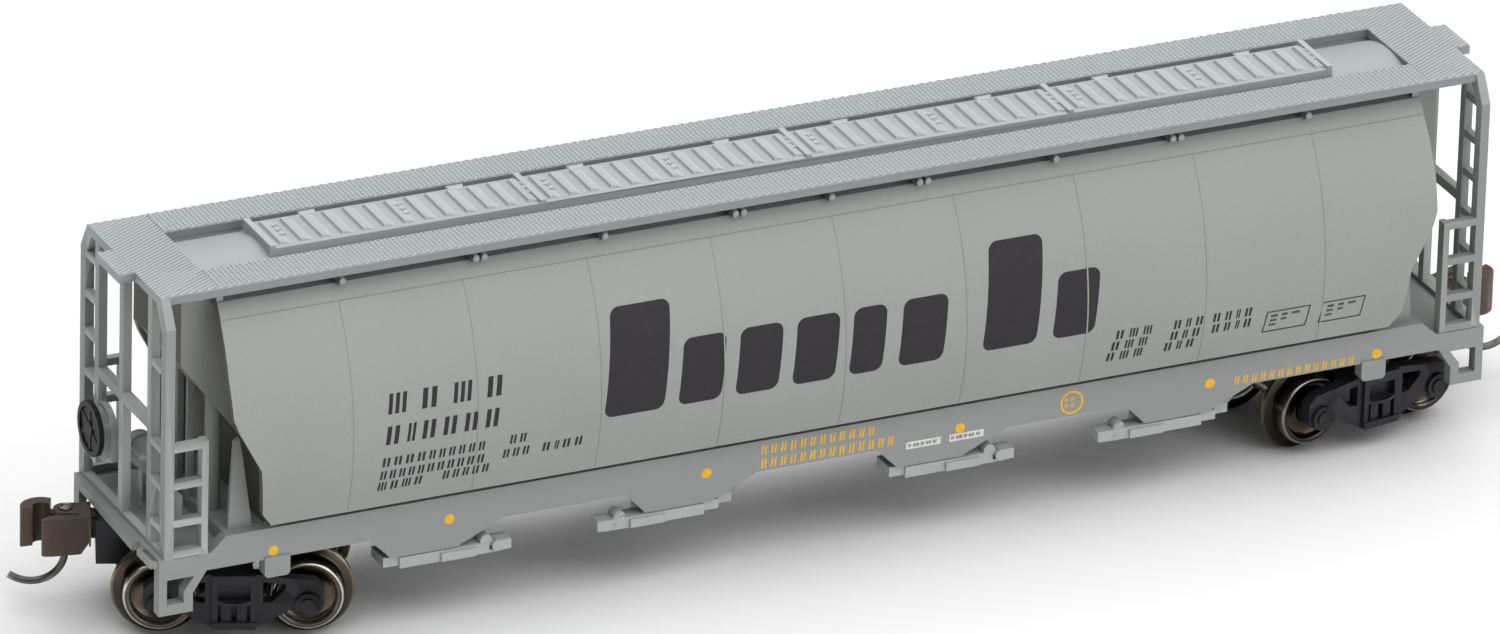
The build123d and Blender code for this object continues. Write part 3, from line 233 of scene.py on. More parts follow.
def bare_plastic(name, base, worn, roughness=0.42):
    """Black engineering plastic, moulded in colour, with a soft sheen and a little dust."""
    finish = Finish(name, specular=0.28)
    cloud = finish.noise(1.6, 4.0)
    grain = finish.noise(0.1, 3.0)
    dust = finish.noise(0.5, 6.0)
    tone = finish.mix(finish.spread(cloud, 0, 1), shade(base, 0.75), shade(base, 1.3))
    tone = finish.mix(finish.spread(dust, 0, 0.14, 0.6, 0.8), tone, worn)
    tone = finish.mix(finish.edges(), tone, worn)
    finish.put(finish.shader.inputs["Roughness"], finish.spread(grain, roughness - 0.08, roughness + 0.12))
    finish.bump(grain, 0.015, 0.6)
    return finish.done(tone)


def blackened_metal(name, base, worn, roughness=0.3, metallic=1.0):
    """Chemically darkened metal, brighter where it rubs."""
    finish = Finish(name, metallic=metallic)
    cloud = finish.noise(0.9, 5.0)
    streak = finish.noise(0.08, 2.0)
    tone = finish.mix(finish.spread(cloud, 0, 1), shade(base, 0.7), shade(base, 1.25))
    tone = finish.mix(finish.edges(), tone, worn)
    finish.put(finish.shader.inputs["Roughness"], finish.spread(cloud, roughness - 0.08, roughness + 0.12))
    finish.bump(streak, 0.006, 0.5)
    return finish.done(tone)


def printed_ink(name, base, roughness=0.55):
    """Pad-printed ink, a little uneven in density, as it lies over the paint's grain."""
    finish = Finish(name, specular=0.35)
    grain = finish.noise(PAINT_GRAIN, 2.0)
    cloud = finish.noise(0.7, 4.0)
    tone = finish.mix(finish.spread(cloud, 0, 1), shade(base, 0.85), shade(base, 1.15))
    finish.put(finish.shader.inputs["Roughness"], finish.spread(grain, roughness - 0.08, roughness + 0.08))
    finish.bump(grain, 0.01, 0.6)
    return finish.done(tone)


WHEEL_RADIUS = 3.72
# The near-white bands at 0.6 and 0.73 are painted highlights on the edges of the rim.
WHEEL_ZONES = [                # share of the wheel's radius, and the colour there
    (0.0, (30, 27, 29)), (0.27, (36, 32, 33)), (0.32, (92, 80, 70)), (0.56, (112, 98, 86)),
    (0.6, (246, 242, 234)), (0.64, (112, 102, 90)), (0.7, (84, 76, 66)), (0.73, (246, 242, 232)),
    (0.77, (66, 60, 53)), (0.93, (80, 73, 62)), (1.0, (150, 142, 126)),
]
RING_SPACING = 0.35            # of the marks left by turning


def turned_wheel(name, brightness):
    """A turned metal wheel: painted highlights on the rim, a bright flange edge, bronzed tread and web,
    dark hub.
    """
    finish = Finish(name, metallic=1.0)
    split = finish.node("ShaderNodeSeparateXYZ", Vector=finish.place)
    flat = finish.node("ShaderNodeCombineXYZ", X=split.outputs["X"], Z=split.outputs["Z"])
    radius = finish.node("ShaderNodeVectorMath")
    radius.operation = "LENGTH"
    finish.put(radius.inputs[0], flat.outputs["Vector"])
    share = finish.spread(radius.outputs["Value"], 0, 1, 0, WHEEL_RADIUS * MM)
    ramp = finish.node("ShaderNodeValToRGB", Fac=share)
    elements = ramp.color_ramp.elements
    while len(elements) < len(WHEEL_ZONES):
        elements.new(0.5)
    for element, (position, tone) in zip(elements, WHEEL_ZONES):
        element.position = position
        element.color = shade(colour(*tone), brightness)
    cloud = finish.noise(0.8, 5.0)
    tone = finish.mix(finish.spread(cloud, 0.0, 0.35), ramp.outputs["Color"], colour(52, 46, 41))
    rings = finish.node("ShaderNodeTexWave", Vector=finish.place, Scale=1 / (RING_SPACING * MM),
                        Distortion=0.4)
    rings.wave_type = "RINGS"
    rings.rings_direction = "Y"
    finish.put(finish.shader.inputs["Roughness"], finish.spread(cloud, 0.15, 0.3))
    finish.bump(rings.outputs["Fac"], 0.004, 0.5)
    return finish.done(tone)


# The body's paint carries painted light above its sides and painted shade on its end faces.
BODY_GREY = painted_plastic("body_paint", colour(150, 152, 150), painted_top_light=colour(156, 161, 163),
                            painted_end_shade=colour(92, 90, 82))
WALK_GREY = painted_plastic("walk_paint", colour(126, 130, 132), colour(172, 176, 177), 0.55)
ROOF_GREY = painted_plastic("roof_paint", colour(150, 155, 157), colour(180, 185, 185), 0.5)
HATCH_GREY = painted_plastic("hatch_paint", colour(156, 161, 163), colour(188, 192, 192), 0.48)
SILL_GREY = painted_plastic("sill_paint", colour(142, 145, 143))
FRAME_GREY = painted_plastic("frame_paint", colour(136, 139, 137), colour(168, 171, 169), 0.5)
TRUCK_BLACK = bare_plastic("truck_plastic", colour(6, 6, 8), colour(34, 34, 38), 0.34)
BRAKE_BLACK = bare_plastic("brake_plastic", colour(6, 5, 6), colour(24, 22, 22), 0.5)
COUPLER_BROWN = bare_plastic("coupler_plastic", colour(56, 45, 41), colour(98, 82, 74), 0.4)
# Truck b's wheels are the same wheel drawn 0.4 times as bright: painted shade.
WHEEL_METAL = {"a": turned_wheel("wheel_turned", 1.0), "b": turned_wheel("wheel_painted_shade", 0.4)}
AXLE_METAL = blackened_metal("axle_metal", colour(110, 102, 90), colour(170, 162, 148))
PIN_STEEL = blackened_metal("pin_steel", colour(92, 93, 90), colour(150, 150, 146), 0.34)
SPRING_STEEL = blackened_metal("spring_steel", colour(150, 148, 140), colour(196, 194, 186))
BALLAST_STEEL = blackened_metal("ballast_steel", colour(120, 118, 112), colour(160, 158, 150), 0.45)
BLACK_INK = printed_ink("black_ink", colour(34, 31, 35))
YELLOW_INK = printed_ink("yellow_ink", colour(228, 176, 46))
WHITE_INK = printed_ink("white_ink", colour(214, 214, 210))


# ------------------------------------------------------------------ meshes
class Shape:
    """Closed solids gathered into one mesh, in millimetres."""

    def __init__(self):
        self.points = []
        self.faces = []

    def add(self, points, faces):
        first = len(self.points)
        self.points += [Vector(point) for point in points]
        self.faces += [[first + index for index in face] for face in faces]

    def loft(self, rings, looped=False):
        """A skin through rings of equally many points, capped at its ends unless it closes on itself."""
        count = len(rings[0])
        spans = len(rings) if looped else len(rings) - 1
        faces = []
        for row in range(spans):
            here, there = row * count, (row + 1) % len(rings) * count
            for index in range(count):
                following = (index + 1) % count
                faces.append((here + index, here + following, there + following, there + index))
        if not looped:
            faces.append(tuple(reversed(range(count))))
            faces.append(tuple(range(spans * count, spans * count + count)))
        self.add([point for ring in rings for point in ring], faces)

    def prism(self, outline, axis, start, end):
        put = {
            "x": lambda p, s: (s, p[0], p[1]),
            "y": lambda p, s: (p[0], s, p[1]),
            "z": lambda p, s: (p[0], p[1], s),
        }[axis]
        self.loft([[put(point, station) for point in outline] for station in (start, end)])

    def box(self, x, y, z):
        self.prism([(x[0], y[0]), (x[1], y[0]), (x[1], y[1]), (x[0], y[1])], "z", *z)

    def turned(self, axis, centre, profile, sides=24):
        """A turned solid; profile lists (place along the axis, radius) from one end to the other."""
        rings = []
        for station, radius in profile:
            ring = []
            for index in range(sides):
                angle = 2 * math.pi * index / sides
                u, v = centre[0] + radius * math.cos(angle), centre[1] + radius * math.sin(angle)
                ring.append({"x": (station, u, v), "y": (u, station, v), "z": (u, v, station)}[axis])
            rings.append(ring)
        self.loft(rings)

    def tube(self, path, radius, sides=12):
        """A round wire along a path."""
        rings = []
        side = None
        for index, point in enumerate(path):
            ahead = Vector(path[min(index + 1, len(path) - 1)]) - Vector(path[max(index - 1, 0)])
            ahead.normalize()
            if side is None:
                side = ahead.orthogonal().normalized()
            side = (side - ahead * side.dot(ahead)).normalized()
            up = ahead.cross(side)
            rings.append([
                Vector(point) + radius * (math.cos(turn) * side + math.sin(turn) * up)
                for turn in (2 * math.pi * step / sides for step in range(sides))
            ])
        self.loft(rings)

    def sheet(self, grid, surface, lift):
        """A thin closed sheet laid on a surface; grid holds rows of (x, z), surface gives their points."""
        rows, columns = len(grid), len(grid[0])
        outer = [surface(x, z, lift) for row in grid for x, z in row]
        inner = [surface(x, z, -lift) for row in grid for x, z in row]
        deep = rows * columns
        faces = []
        for row in range(rows - 1):
            for column in range(columns - 1):
                a = row * columns + column
                quad = (a, a + 1, a + columns + 1, a + columns)
                faces.append(quad)
                faces.append(tuple(deep + index for index in reversed(quad)))
        rim = [column for column in range(columns)]
        rim += [row * columns + columns - 1 for row in range(1, rows)]
        rim += [deep - columns + column for column in range(columns - 2, -1, -1)]
        rim += [row * columns for row in range(rows - 2, 0, -1)]
        for here, there in zip(rim, rim[1:] + rim[:1]):
            faces.append((here, here + deep, there + deep, there))
        self.add(outer + inner, faces)

    def piece(self, name, body, slot, finish, place, bevel=0.0, sharp=35, origin=None):
        """The mesh as an object that rides on a body; origin is where its own coordinates start."""
        mesh = bpy.data.meshes.new(name)
        local = Matrix.Translation(origin) if origin else Matrix.Identity(4)
        back = local.inverted()
        mesh.from_pydata([back @ (place @ point) for point in self.points], [], self.faces)
        shell = bmesh.new()
        shell.from_mesh(mesh)
        bmesh.ops.recalc_face_normals(shell, faces=shell.faces)
        shell.to_mesh(mesh)
        shell.free()
        mesh.shade_smooth()
        mesh.set_sharp_from_angle(angle=math.radians(sharp))
        obj = bpy.data.objects.new(name, mesh)
        bpy.context.scene.collection.objects.link(obj)
        obj.matrix_world = local
        obj.data.materials.append(finish)
        if bevel:
            soften(obj, bevel)
        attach(obj, body)
        return obj


SHARP_ANGLE = math.radians(28)
WELD_REACH = 0.0005


def sharp_edge_nodes():
    """Geometry nodes that shade a mesh smoothly, apart from edges that turn by more than SHARP_ANGLE."""
    group = bpy.data.node_groups.new("sharp_by_angle", "GeometryNodeTree")
    group.interface.new_socket("Geometry", in_out="INPUT", socket_type="NodeSocketGeometry")
    group.interface.new_socket("Geometry", in_out="OUTPUT", socket_type="NodeSocketGeometry")
    start = group.nodes.new("NodeGroupInput")
    stop = group.nodes.new("NodeGroupOutput")
    angle = group.nodes.new("GeometryNodeInputMeshEdgeAngle")
    compare = group.nodes.new("FunctionNodeCompare")
    compare.operation = "LESS_THAN"
    compare.inputs["B"].default_value = SHARP_ANGLE
    faces = group.nodes.new("GeometryNodeSetShadeSmooth")
    edges = group.nodes.new("GeometryNodeSetShadeSmooth")
    edges.domain = "EDGE"
    group.links.new(angle.outputs["Unsigned Angle"], compare.inputs["A"])
    group.links.new(start.outputs[0], faces.inputs["Geometry"])
    group.links.new(faces.outputs["Geometry"], edges.inputs["Geometry"])
    group.links.new(compare.outputs["Result"], edges.inputs["Shade Smooth"])
    group.links.new(edges.outputs["Geometry"], stop.inputs[0])
    return group


SHARP_BY_ANGLE = sharp_edge_nodes()


def soften(obj, width, segments=2):
    """Rounds an object's sharp edges by a width in millimetres, and keeps its flat faces flat."""
    shading = obj.modifiers.new("sharp_edges", "NODES")
    shading.node_group = SHARP_BY_ANGLE
    rounding = obj.modifiers.new("rounded_edges", "BEVEL")
    rounding.width = width * MM
    rounding.segments = segments
    rounding.limit_method = "ANGLE"
    rounding.angle_limit = SHARP_ANGLE
    rounding.miter_outer = "MITER_ARC"
    rounding.harden_normals = True


def finish_node(name, finish, bevel=0.0):
    """Gives a CAD node its material and rounds its edges without touching its mesh."""
    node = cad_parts[name]
    node.data.materials.clear()
    node.data.materials.append(finish)
    if bevel:
        weld = node.modifiers.new("joined_faces", "WELD")
        weld.merge_threshold = WELD_REACH * MM
        soften(node, bevel)


# ------------------------------------------------------------------ surfaces that carry detail
def side_y(z):
    return math.sqrt(SIDE_RADIUS ** 2 - (z - SIDE_CENTRE_Z) ** 2) - SIDE_CENTRE_OFFSET


def on_side(x, z, lift):
    """A point on the curved side, lifted along its normal."""
    lean = math.asin((z - SIDE_CENTRE_Z) / SIDE_RADIUS)
    return x, -side_y(z) - lift * math.cos(lean), z + lift * math.sin(lean)


def on_sill(x, z, lift):
    return x, -SILL_Y - lift, z


def slanted(x, z, lean=0.0, steps=1):
    """A grid over the parallelogram between two x and two z limits; lean shifts it along x with height."""
    rows = []
    for step in range(steps + 1):
        height = z[0] + (z[1] - z[0]) * step / steps
        shift = lean * (height - z[0])
        rows.append([(x[0] + shift, height), (x[1] + shift, height)])
    return rows


def disc_grid(x, z, inner, outer, sides=28):
    """A grid over a ring, or over a disc when inner is almost nothing."""
    return [
        [(x + radius * math.cos(turn), z + radius * math.sin(turn)) for radius in (inner, outer)]
        for turn in (2 * math.pi * step / sides for step in range(sides + 1))
    ]


# ------------------------------------------------------------------ roof
TREAD_ANGLE = math.radians(29)
TREAD_PITCH_Y = 0.42
TREAD_WIDTH = 0.16
TREAD_HEIGHT = 0.08


def tread_bar(shape, start, end, across):
    """One raised bar of tread between two points in plan; across is half its width along Y or X."""
    base = WALK_HIGH.z - 0.01
    rings = []
    for z, share in ((base, 1.0), (WALK_HIGH.z + TREAD_HEIGHT, 0.55)):
        dx, dy = across[0] * share, across[1] * share
        rings.append([(start[0] - dx, start[1] - dy, z), (start[0] + dx, start[1] + dy, z),
                      (end[0] + dx, end[1] + dy, z), (end[0] - dx, end[1] - dy, z)])
    shape.loft(rings)


def tread_field(shape, x, y, direction):
    """Parallel slanted bars over a rectangle, cut at its borders; direction is 1 or -1."""
    slope = math.tan(TREAD_ANGLE) * direction
    half = TREAD_WIDTH / 2 / math.cos(TREAD_ANGLE)
    rise = abs(slope) * (x[1] - x[0])
    count = int((y[1] - y[0] + rise) / TREAD_PITCH_Y)
    low, high = y[0] + half, y[1] - half
    for index in range(count + 1):
        offset = y[0] - (rise if direction > 0 else 0) + (index + 0.5) * TREAD_PITCH_Y
        ends = sorted((x[0] + (limit - offset) / slope) for limit in (low, high))
        start_x, end_x = max(x[0], ends[0]), min(x[1], ends[1])
        if end_x - start_x > TREAD_WIDTH:
            start = (start_x, offset + slope * (start_x - x[0]))
            end = (end_x, offset + slope * (end_x - x[0]))
            tread_bar(shape, start, end, (0, half))


def make_roof_tread():
    """Criss-cross tread along both sides of the walk, and slanted bars over its two ends."""
    shape = Shape()
    sides = ((-WALK_HALF_WIDTH, -WALK_OPENING_Y), (WALK_OPENING_Y, WALK_HALF_WIDTH))
    for y in sides:
        for direction in (1, -1):
            tread_field(shape, (-WALK_OPENING_X, WALK_OPENING_X), y, direction)
    for end in (-1, 1):
        platform = sorted((end * WALK_OPENING_X, end * WALK_END_X))
        tread_field(shape, platform, (-WALK_HALF_WIDTH, WALK_HALF_WIDTH), 1)
        tab = sorted((end * WALK_END_X, end * WALK_HIGH.x))
        tread_field(shape, tab, (-WALK_TAB_Y, WALK_TAB_Y), 1)
    shape.piece("roof_tread", "car", "roof_grey", ROOF_GREY, CAR)


HATCH_SIDE_Y = -HATCH_LOW.y
END_BATTENS = 0.5
RIB_PITCH = 1.72
RIB_COUNT = 13
FIRST_RIB = 0.95
RIB_FOOT = 0.24                # each rib is steep on its -X side and slopes down over its +X side
RIB_SLOPE = 0.85
RIB_TOP = (-0.16, 0.1)
RIB_RISE = 0.24
RIB_INSET = 0.08
RIB_END_GAP = 0.45             # from a rib's end to the side of the covers
ROOT = 0.02                    # how far a detail starts below the surface that it stands on
CLIP_EVERY = 6                 # ribs
CLIP_X = (0.22, 0.86)          # from its rib
CLIP_FOOT_Y = (-0.75, 1.3)
CLIP_FOOT_HEIGHT = 0.06
CLIP_FINGERS_Y = (-0.55, 0.3, 1.1)
CLIP_FINGER_HALF_WIDTH = 0.13
CLIP_FINGER_HEIGHT = 0.24
CLIP_PIN_Y = (-0.8, 1.35)
CLIP_PIN_RADIUS = 0.07
CLIP_PIN_HEIGHT = 0.16
HINGES_X = (5.0, 17.3)         # from the start of a cover
HINGE_HALF_LENGTH = 0.6
HINGE_Y = (-0.1, 0.42)         # from the side of the covers
HINGE_DEPTH = 0.75
HINGE_PIN_Y = 0.28
HINGE_PIN_DROP = 0.06
HINGE_PIN_RADIUS = 0.16
HINGE_PIN_HALF_LENGTH = 0.7


def rib_ring(start, stop, reach, z):
    return [(start, -reach, z), (stop, -reach, z), (stop, reach, z), (start, reach, z)]


def make_hatch_ribs():
    """The ribs over each hatch cover, its clips, and the hinge lugs along the +Y side."""
    ribs, clips, hinges = Shape(), Shape(), Shape()
    length = (HATCH_HIGH.x - HATCH_LOW.x - END_BATTENS) / HATCH_COUNT
    first = -length * HATCH_COUNT / 2
    reach = HATCH_SIDE_Y - RIB_END_GAP
    for cover in range(HATCH_COUNT):
        start = first + cover * length
        for index in range(RIB_COUNT):
            x = start + FIRST_RIB + index * RIB_PITCH
            ribs.loft([
                rib_ring(x - RIB_FOOT, x + RIB_SLOPE, reach, HATCH_TOP - ROOT),
                rib_ring(x + RIB_TOP[0], x + RIB_TOP[1], reach - RIB_INSET, HATCH_TOP + RIB_RISE),
            ])
            if index % CLIP_EVERY == 0:
                make_clip(clips, x)
        for place in HINGES_X:
            make_hinge(hinges, start + place)
    ribs.piece("hatch_ribs", "car", "roof_grey", HATCH_GREY, CAR, bevel=0.04)
    clips.piece("hatch_clips", "car", "roof_grey", HATCH_GREY, CAR, bevel=0.02)
    hinges.piece("hatch_hinges", "car", "roof_grey", HATCH_GREY, CAR, bevel=0.04)


def make_hinge(shape, x):
    """A hinge lug on the +Y side of a cover, with the pin along it."""
    shape.box((x - HINGE_HALF_LENGTH, x + HINGE_HALF_LENGTH),
              (HATCH_SIDE_Y + HINGE_Y[0], HATCH_SIDE_Y + HINGE_Y[1]),
              (HATCH_TOP - HINGE_DEPTH, HATCH_TOP + ROOT))
    pin = [(x + sign * HINGE_PIN_HALF_LENGTH, HINGE_PIN_RADIUS) for sign in (-1, 1)]
    shape.turned("x", (HATCH_SIDE_Y + HINGE_PIN_Y, HATCH_TOP - HINGE_PIN_DROP), pin, 12)


def make_clip(shape, x):
    """A clip beside a rib: a foot, three fingers and the pin through them."""
    low, high = x + CLIP_X[0], x + CLIP_X[1]
    shape.box((low, high), CLIP_FOOT_Y, (HATCH_TOP - ROOT, HATCH_TOP + CLIP_FOOT_HEIGHT))
    for y in CLIP_FINGERS_Y:
        shape.box((low - 0.1, high), (y - CLIP_FINGER_HALF_WIDTH, y + CLIP_FINGER_HALF_WIDTH),
                  (HATCH_TOP, HATCH_TOP + CLIP_FINGER_HEIGHT))
    pin = [(y, CLIP_PIN_RADIUS) for y in CLIP_PIN_Y]
    shape.turned("y", ((low + high) / 2, HATCH_TOP + CLIP_PIN_HEIGHT), pin, 10)


STUDS_X = (0, 19.1, -19.1, 40.9, -40.9, 7.45, 8.15, -7.45, -8.15, 29.15, 29.85, -29.15, -29.85)
STUD_RADIUS = 0.34             # it lies on the ledge
STUD_ROOT = 0.1
STUD_PROFILE = ((-STUD_ROOT, STUD_RADIUS), (1.45, STUD_RADIUS), (1.6, 0.26), (1.66, 0.12))
STUD_FOOT_HALF_WIDTH = 0.14
STUD_FOOT_REACH = 1.2
STUD_FOOT_Z = (-0.1, 0.3)


def make_roof_studs(side):
    """The round-headed studs under the edge of the roof walk, each on a short foot."""
    shape = Shape()
    profile = [(-RECESS_Y - reach, radius) for reach, radius in STUD_PROFILE]
    foot_y = (-RECESS_Y - STUD_FOOT_REACH, -RECESS_Y + STUD_ROOT)
    foot_z = (LEDGE_Z + STUD_FOOT_Z[0], LEDGE_Z + STUD_FOOT_Z[1])
    for x in STUDS_X:
        shape.turned("y", (x, LEDGE_Z + STUD_RADIUS), profile, 16)
        shape.box((x - STUD_FOOT_HALF_WIDTH, x + STUD_FOOT_HALF_WIDTH), foot_y, foot_z)
    shape.piece(f"roof_studs_{side}", "car", "body_grey", BODY_GREY, SIDES[side])


# ------------------------------------------------------------------ sides
PRINT_LIFT = 0.012
STROKE_PITCH = 0.42            # of a line's height
STROKE_SHARE = 0.55            # of the pitch
BAR_LEAN = 0.1
BAR_CORNER = 0.7
BOX_LEAN = 0.13
TALL_BARS = ((-20.4, -15.4), (11.6, 16.2))
TALL_BAR_Z = (14.9, 23.5)
SHORT_BARS = ((-14.2, -10.6), (-9.4, -5.8), (-4.6, -1.0), (0.2, 3.0), (4.4, 8.2), (17.6, 21.2))
SHORT_BAR_Z = (14.9, 20.3)
# Lines of strokes: the first one's X and Z, their height, the widths of the groups, the gap between.
MARK_LINES = [
    (-38.4, 18.4, 1.6, (1.7, 1.5, 1.7, 1.5), 1.1),
    (-38.6, 15.9, 1.5, (1.3, 0.8, 1.3, 1.3, 1.3, 1.3), 0.45),
]
DATA_HEIGHT = 0.75
WEIGHT_LINES = [
    (-38.8, 14.0, DATA_HEIGHT, (0.75,) * 4 + (0.6,) * 6, 0.22),
    (-38.9, 12.85, DATA_HEIGHT, (0.6,) * 5 + (0.65,) * 6, 0.18),
    (-39.0, 11.85, DATA_HEIGHT, (0.8, 0.7, 0.8, 0.7), 0.25),
    (-33.6, 11.9, DATA_HEIGHT, (0.6,) * 5, 0.22),
    (-28.2, 14.1, DATA_HEIGHT, (0.6, 0.6), 0.22),
    (-28.7, 12.9, DATA_HEIGHT, (0.6,) * 3, 0.22),
    (-25.4, 12.9, DATA_HEIGHT, (0.7, 0.4, 0.7, 0.7), 0.3),
]
DIMENSION_LINES = [
    (23.2, 13.85, DATA_HEIGHT, (0.75, 0.8, 0.8), 0.4),
    (22.9, 12.85, DATA_HEIGHT, (0.75, 0.8, 0.8), 0.4),
    (22.6, 11.9, DATA_HEIGHT, (0.75, 0.8, 0.8), 0.4),
    (28.2, 13.85, DATA_HEIGHT, (0.7, 0.5, 0.7), 0.35),
    (28.0, 12.85, DATA_HEIGHT, (0.7, 0.5, 0.7), 0.35),
    (27.6, 11.9, DATA_HEIGHT, (0.7, 0.5, 0.7), 0.35),
    (31.6, 13.85, DATA_HEIGHT, (0.7, 0.6, 0.4, 0.7), 0.35),
    (31.6, 12.85, DATA_HEIGHT, (0.7, 0.6, 0.4, 0.7), 0.35),
]
SIDE_LINES = MARK_LINES + WEIGHT_LINES + DIMENSION_LINES
SILL_LINES = [
    (19.75, 8.4, 0.3, (0.35, 0.35), 0.2),
    (19.75, 7.85, 0.3, (0.35, 0.35), 0.2),
    (-6.2, 8.5, 0.78, (0.55,) * 12, 0.28),
    (-6.2, 7.32, 0.78, (0.55,) * 14, 0.28),
    (34.5, 7.25, 0.66, (0.5,) * 14, 0.27),
]
BOXES_X = ((36.1, 39.9), (41.0, 44.7))
BOX_Z = (12.0, 13.9)
BOX_LINE = 0.09
BOX_MARGIN = 0.45
BOX_ROWS_Z = (13.35, 12.95, 12.55)
BOX_WORDS = (0.6, 0.5, 0.7)
BOX_STROKE_HEIGHT = 0.2
LABELS_X = (6.2, 9.9)          # the white labels on the sill
LABEL_LENGTH = 2.95
LABEL_Z = (6.72, 7.32)
LABEL_LIFT = 0.01
LABEL_WORDS = (0.3, 0.55, 0.3, 0.5, 0.35)
DOTS_X = (-47, -32.4, -10.8, 10.8, 32.4, 47)
DOT_Z = 7.75
DOT_RADIUS = 0.42
RING_PLACE = (20.4, 8.25)
RING_RADII = (0.82, 1.0)


def print_words(shape, surface, x, z, height, widths, gap):
    """A line of generic data: groups of short slanted strokes."""
    steps = 2 if surface is on_side else 1
    for width in widths:
        count = max(2, round(width / (STROKE_PITCH * height)))
        pitch = width / count
        for index in range(count):
            start = x + index * pitch
            shape.sheet(slanted((start, start + STROKE_SHARE * pitch), (z, z + height), 0.12, steps),
                        surface, PRINT_LIFT)
        x += width + gap


def print_bar(shape, x, z):
    """A bold slanted bar with rounded corners."""
    rows = []
    steps = 28
    for step in range(steps + 1):
        height = z[0] + (z[1] - z[0]) * (1 - math.cos(math.pi * step / steps)) / 2
        depth = min(height - z[0], z[1] - height, BAR_CORNER)
        inset = BAR_CORNER - math.sqrt(BAR_CORNER ** 2 - (BAR_CORNER - depth) ** 2)
        shift = BAR_LEAN * (height - z[0])
        rows.append([(x[0] + shift + inset, height), (x[1] + shift - inset, height)])
    shape.sheet(rows, on_side, PRINT_LIFT)


def print_frame(shape, x, z, lean, line):
    """A slanted box drawn in outline."""
    height = z[1] - z[0]
    for low, high in ((z[0], z[0] + line), (z[1] - line, z[1])):
        shift = lean * (low - z[0])
        shape.sheet(slanted((x[0] + shift, x[1] + shift), (low, high), lean), on_side, PRINT_LIFT)
    for start in (x[0], x[1] - line):
        shape.sheet(slanted((start, start + line), (z[0] + line, z[0] + height - line), lean, 4),
                    on_side, PRINT_LIFT)


def make_box_print(shape, x):
    """An outlined box with three short lines of fine strokes in it."""
    print_frame(shape, x, BOX_Z, BOX_LEAN, BOX_LINE)
    for row, z in enumerate(BOX_ROWS_Z):
        start = x[0] + BOX_MARGIN + BOX_LEAN * (z - BOX_Z[0])
        widths = BOX_WORDS[: len(BOX_WORDS) - row]
        print_words(shape, on_side, start, z, BOX_STROKE_HEIGHT, widths, 0.35)


def make_side_print(side):
    """Generic printing on a side: a band of bold bars, rows of data blocks and two outlined boxes."""
    black, yellow, white = Shape(), Shape(), Shape()
    for x in TALL_BARS:
        print_bar(black, x, TALL_BAR_Z)
    for x in SHORT_BARS:
        print_bar(black, x, SHORT_BAR_Z)
    for x, z, height, widths, gap in SIDE_LINES:
        print_words(black, on_side, x, z, height, widths, gap)
    for x in BOXES_X:
        make_box_print(black, x)
    for x in LABELS_X:
        white.sheet(slanted((x, x + LABEL_LENGTH), LABEL_Z, 0.05), on_sill, LABEL_LIFT)
        print_words(black, on_sill, x + 0.15, 6.88, 0.28, LABEL_WORDS, 0.12)
    for x in DOTS_X:
        yellow.sheet(disc_grid(x, DOT_Z, 0.02, DOT_RADIUS), on_sill, PRINT_LIFT)
    yellow.sheet(disc_grid(*RING_PLACE, *RING_RADII), on_sill, PRINT_LIFT)
    for x, z, height, widths, gap in SILL_LINES:
        print_words(yellow, on_sill, x, z, height, widths, gap)
    black.piece(f"black_print_{side}", "car", "print_black", BLACK_INK, SIDES[side])
    yellow.piece(f"yellow_print_{side}", "car", "print_yellow", YELLOW_INK, SIDES[side])
    white.piece(f"white_print_{side}", "car", "print_white", WHITE_INK, SIDES[side])


# ------------------------------------------------------------------ wheels
WHEEL_SIDES = 112
WHEEL_PROFILE = [              # (radius, place along the axle) round the section of a wheel
    (0.76, 3.87), (1.35, 3.85), (1.5, 4.0), (2.5, 4.0), (2.7, 3.86), (3.45, 3.85), (3.62, 3.9), (3.7, 4.0),
    (3.715, 4.1), (3.66, 4.2), (3.5, 4.3), (3.1, 4.38), (2.95, 4.45), (2.88, 4.6), (2.855, 5.2),
    (2.82, 5.62),
    (2.76, 5.76), (2.66, 5.82), (2.42, 5.825), (2.32, 5.78), (2.26, 5.66), (2.22, 5.42), (2.05, 5.3),
    (1.3, 5.2), (1.16, 5.26), (1.1, 5.5), (1.04, 5.64), (0.92, 5.7), (0.76, 5.7),
]


def make_wheel(end, place, side):
    """A wheel lathed about its axle, with a rounded flange, a lipped rim and a dished web."""
    node = f"wheel_{end}_{place}_{side}"
    truck = TRUCKS[end]
    sign = 1 if side == "left" else -1
    axle = truck.inverted() @ centre_of(f"axle_{end}_{place}")
    shape = Shape()
    rings = []
    for index in range(WHEEL_SIDES):
        angle = 2 * math.pi * index / WHEEL_SIDES
        rings.append([
            (radius * math.cos(angle), sign * y, radius * math.sin(angle)) for radius, y in WHEEL_PROFILE
        ])
    shape.loft(rings, looped=True)
    turn = truck @ Matrix.Translation(axle)
    piece = shape.piece(f"turned_{node}", f"wheelset_{end}_{place}", "wheel_metal", WHEEL_METAL[end],
                        Matrix.Scale(MM, 4), sharp=50)
    angle = truck.to_euler().z
    piece.matrix_world = Matrix.Translation(turn.translation) @ Matrix.Rotation(angle, 4, "Z")
    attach(piece, f"wheelset_{end}_{place}")
    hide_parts(node)


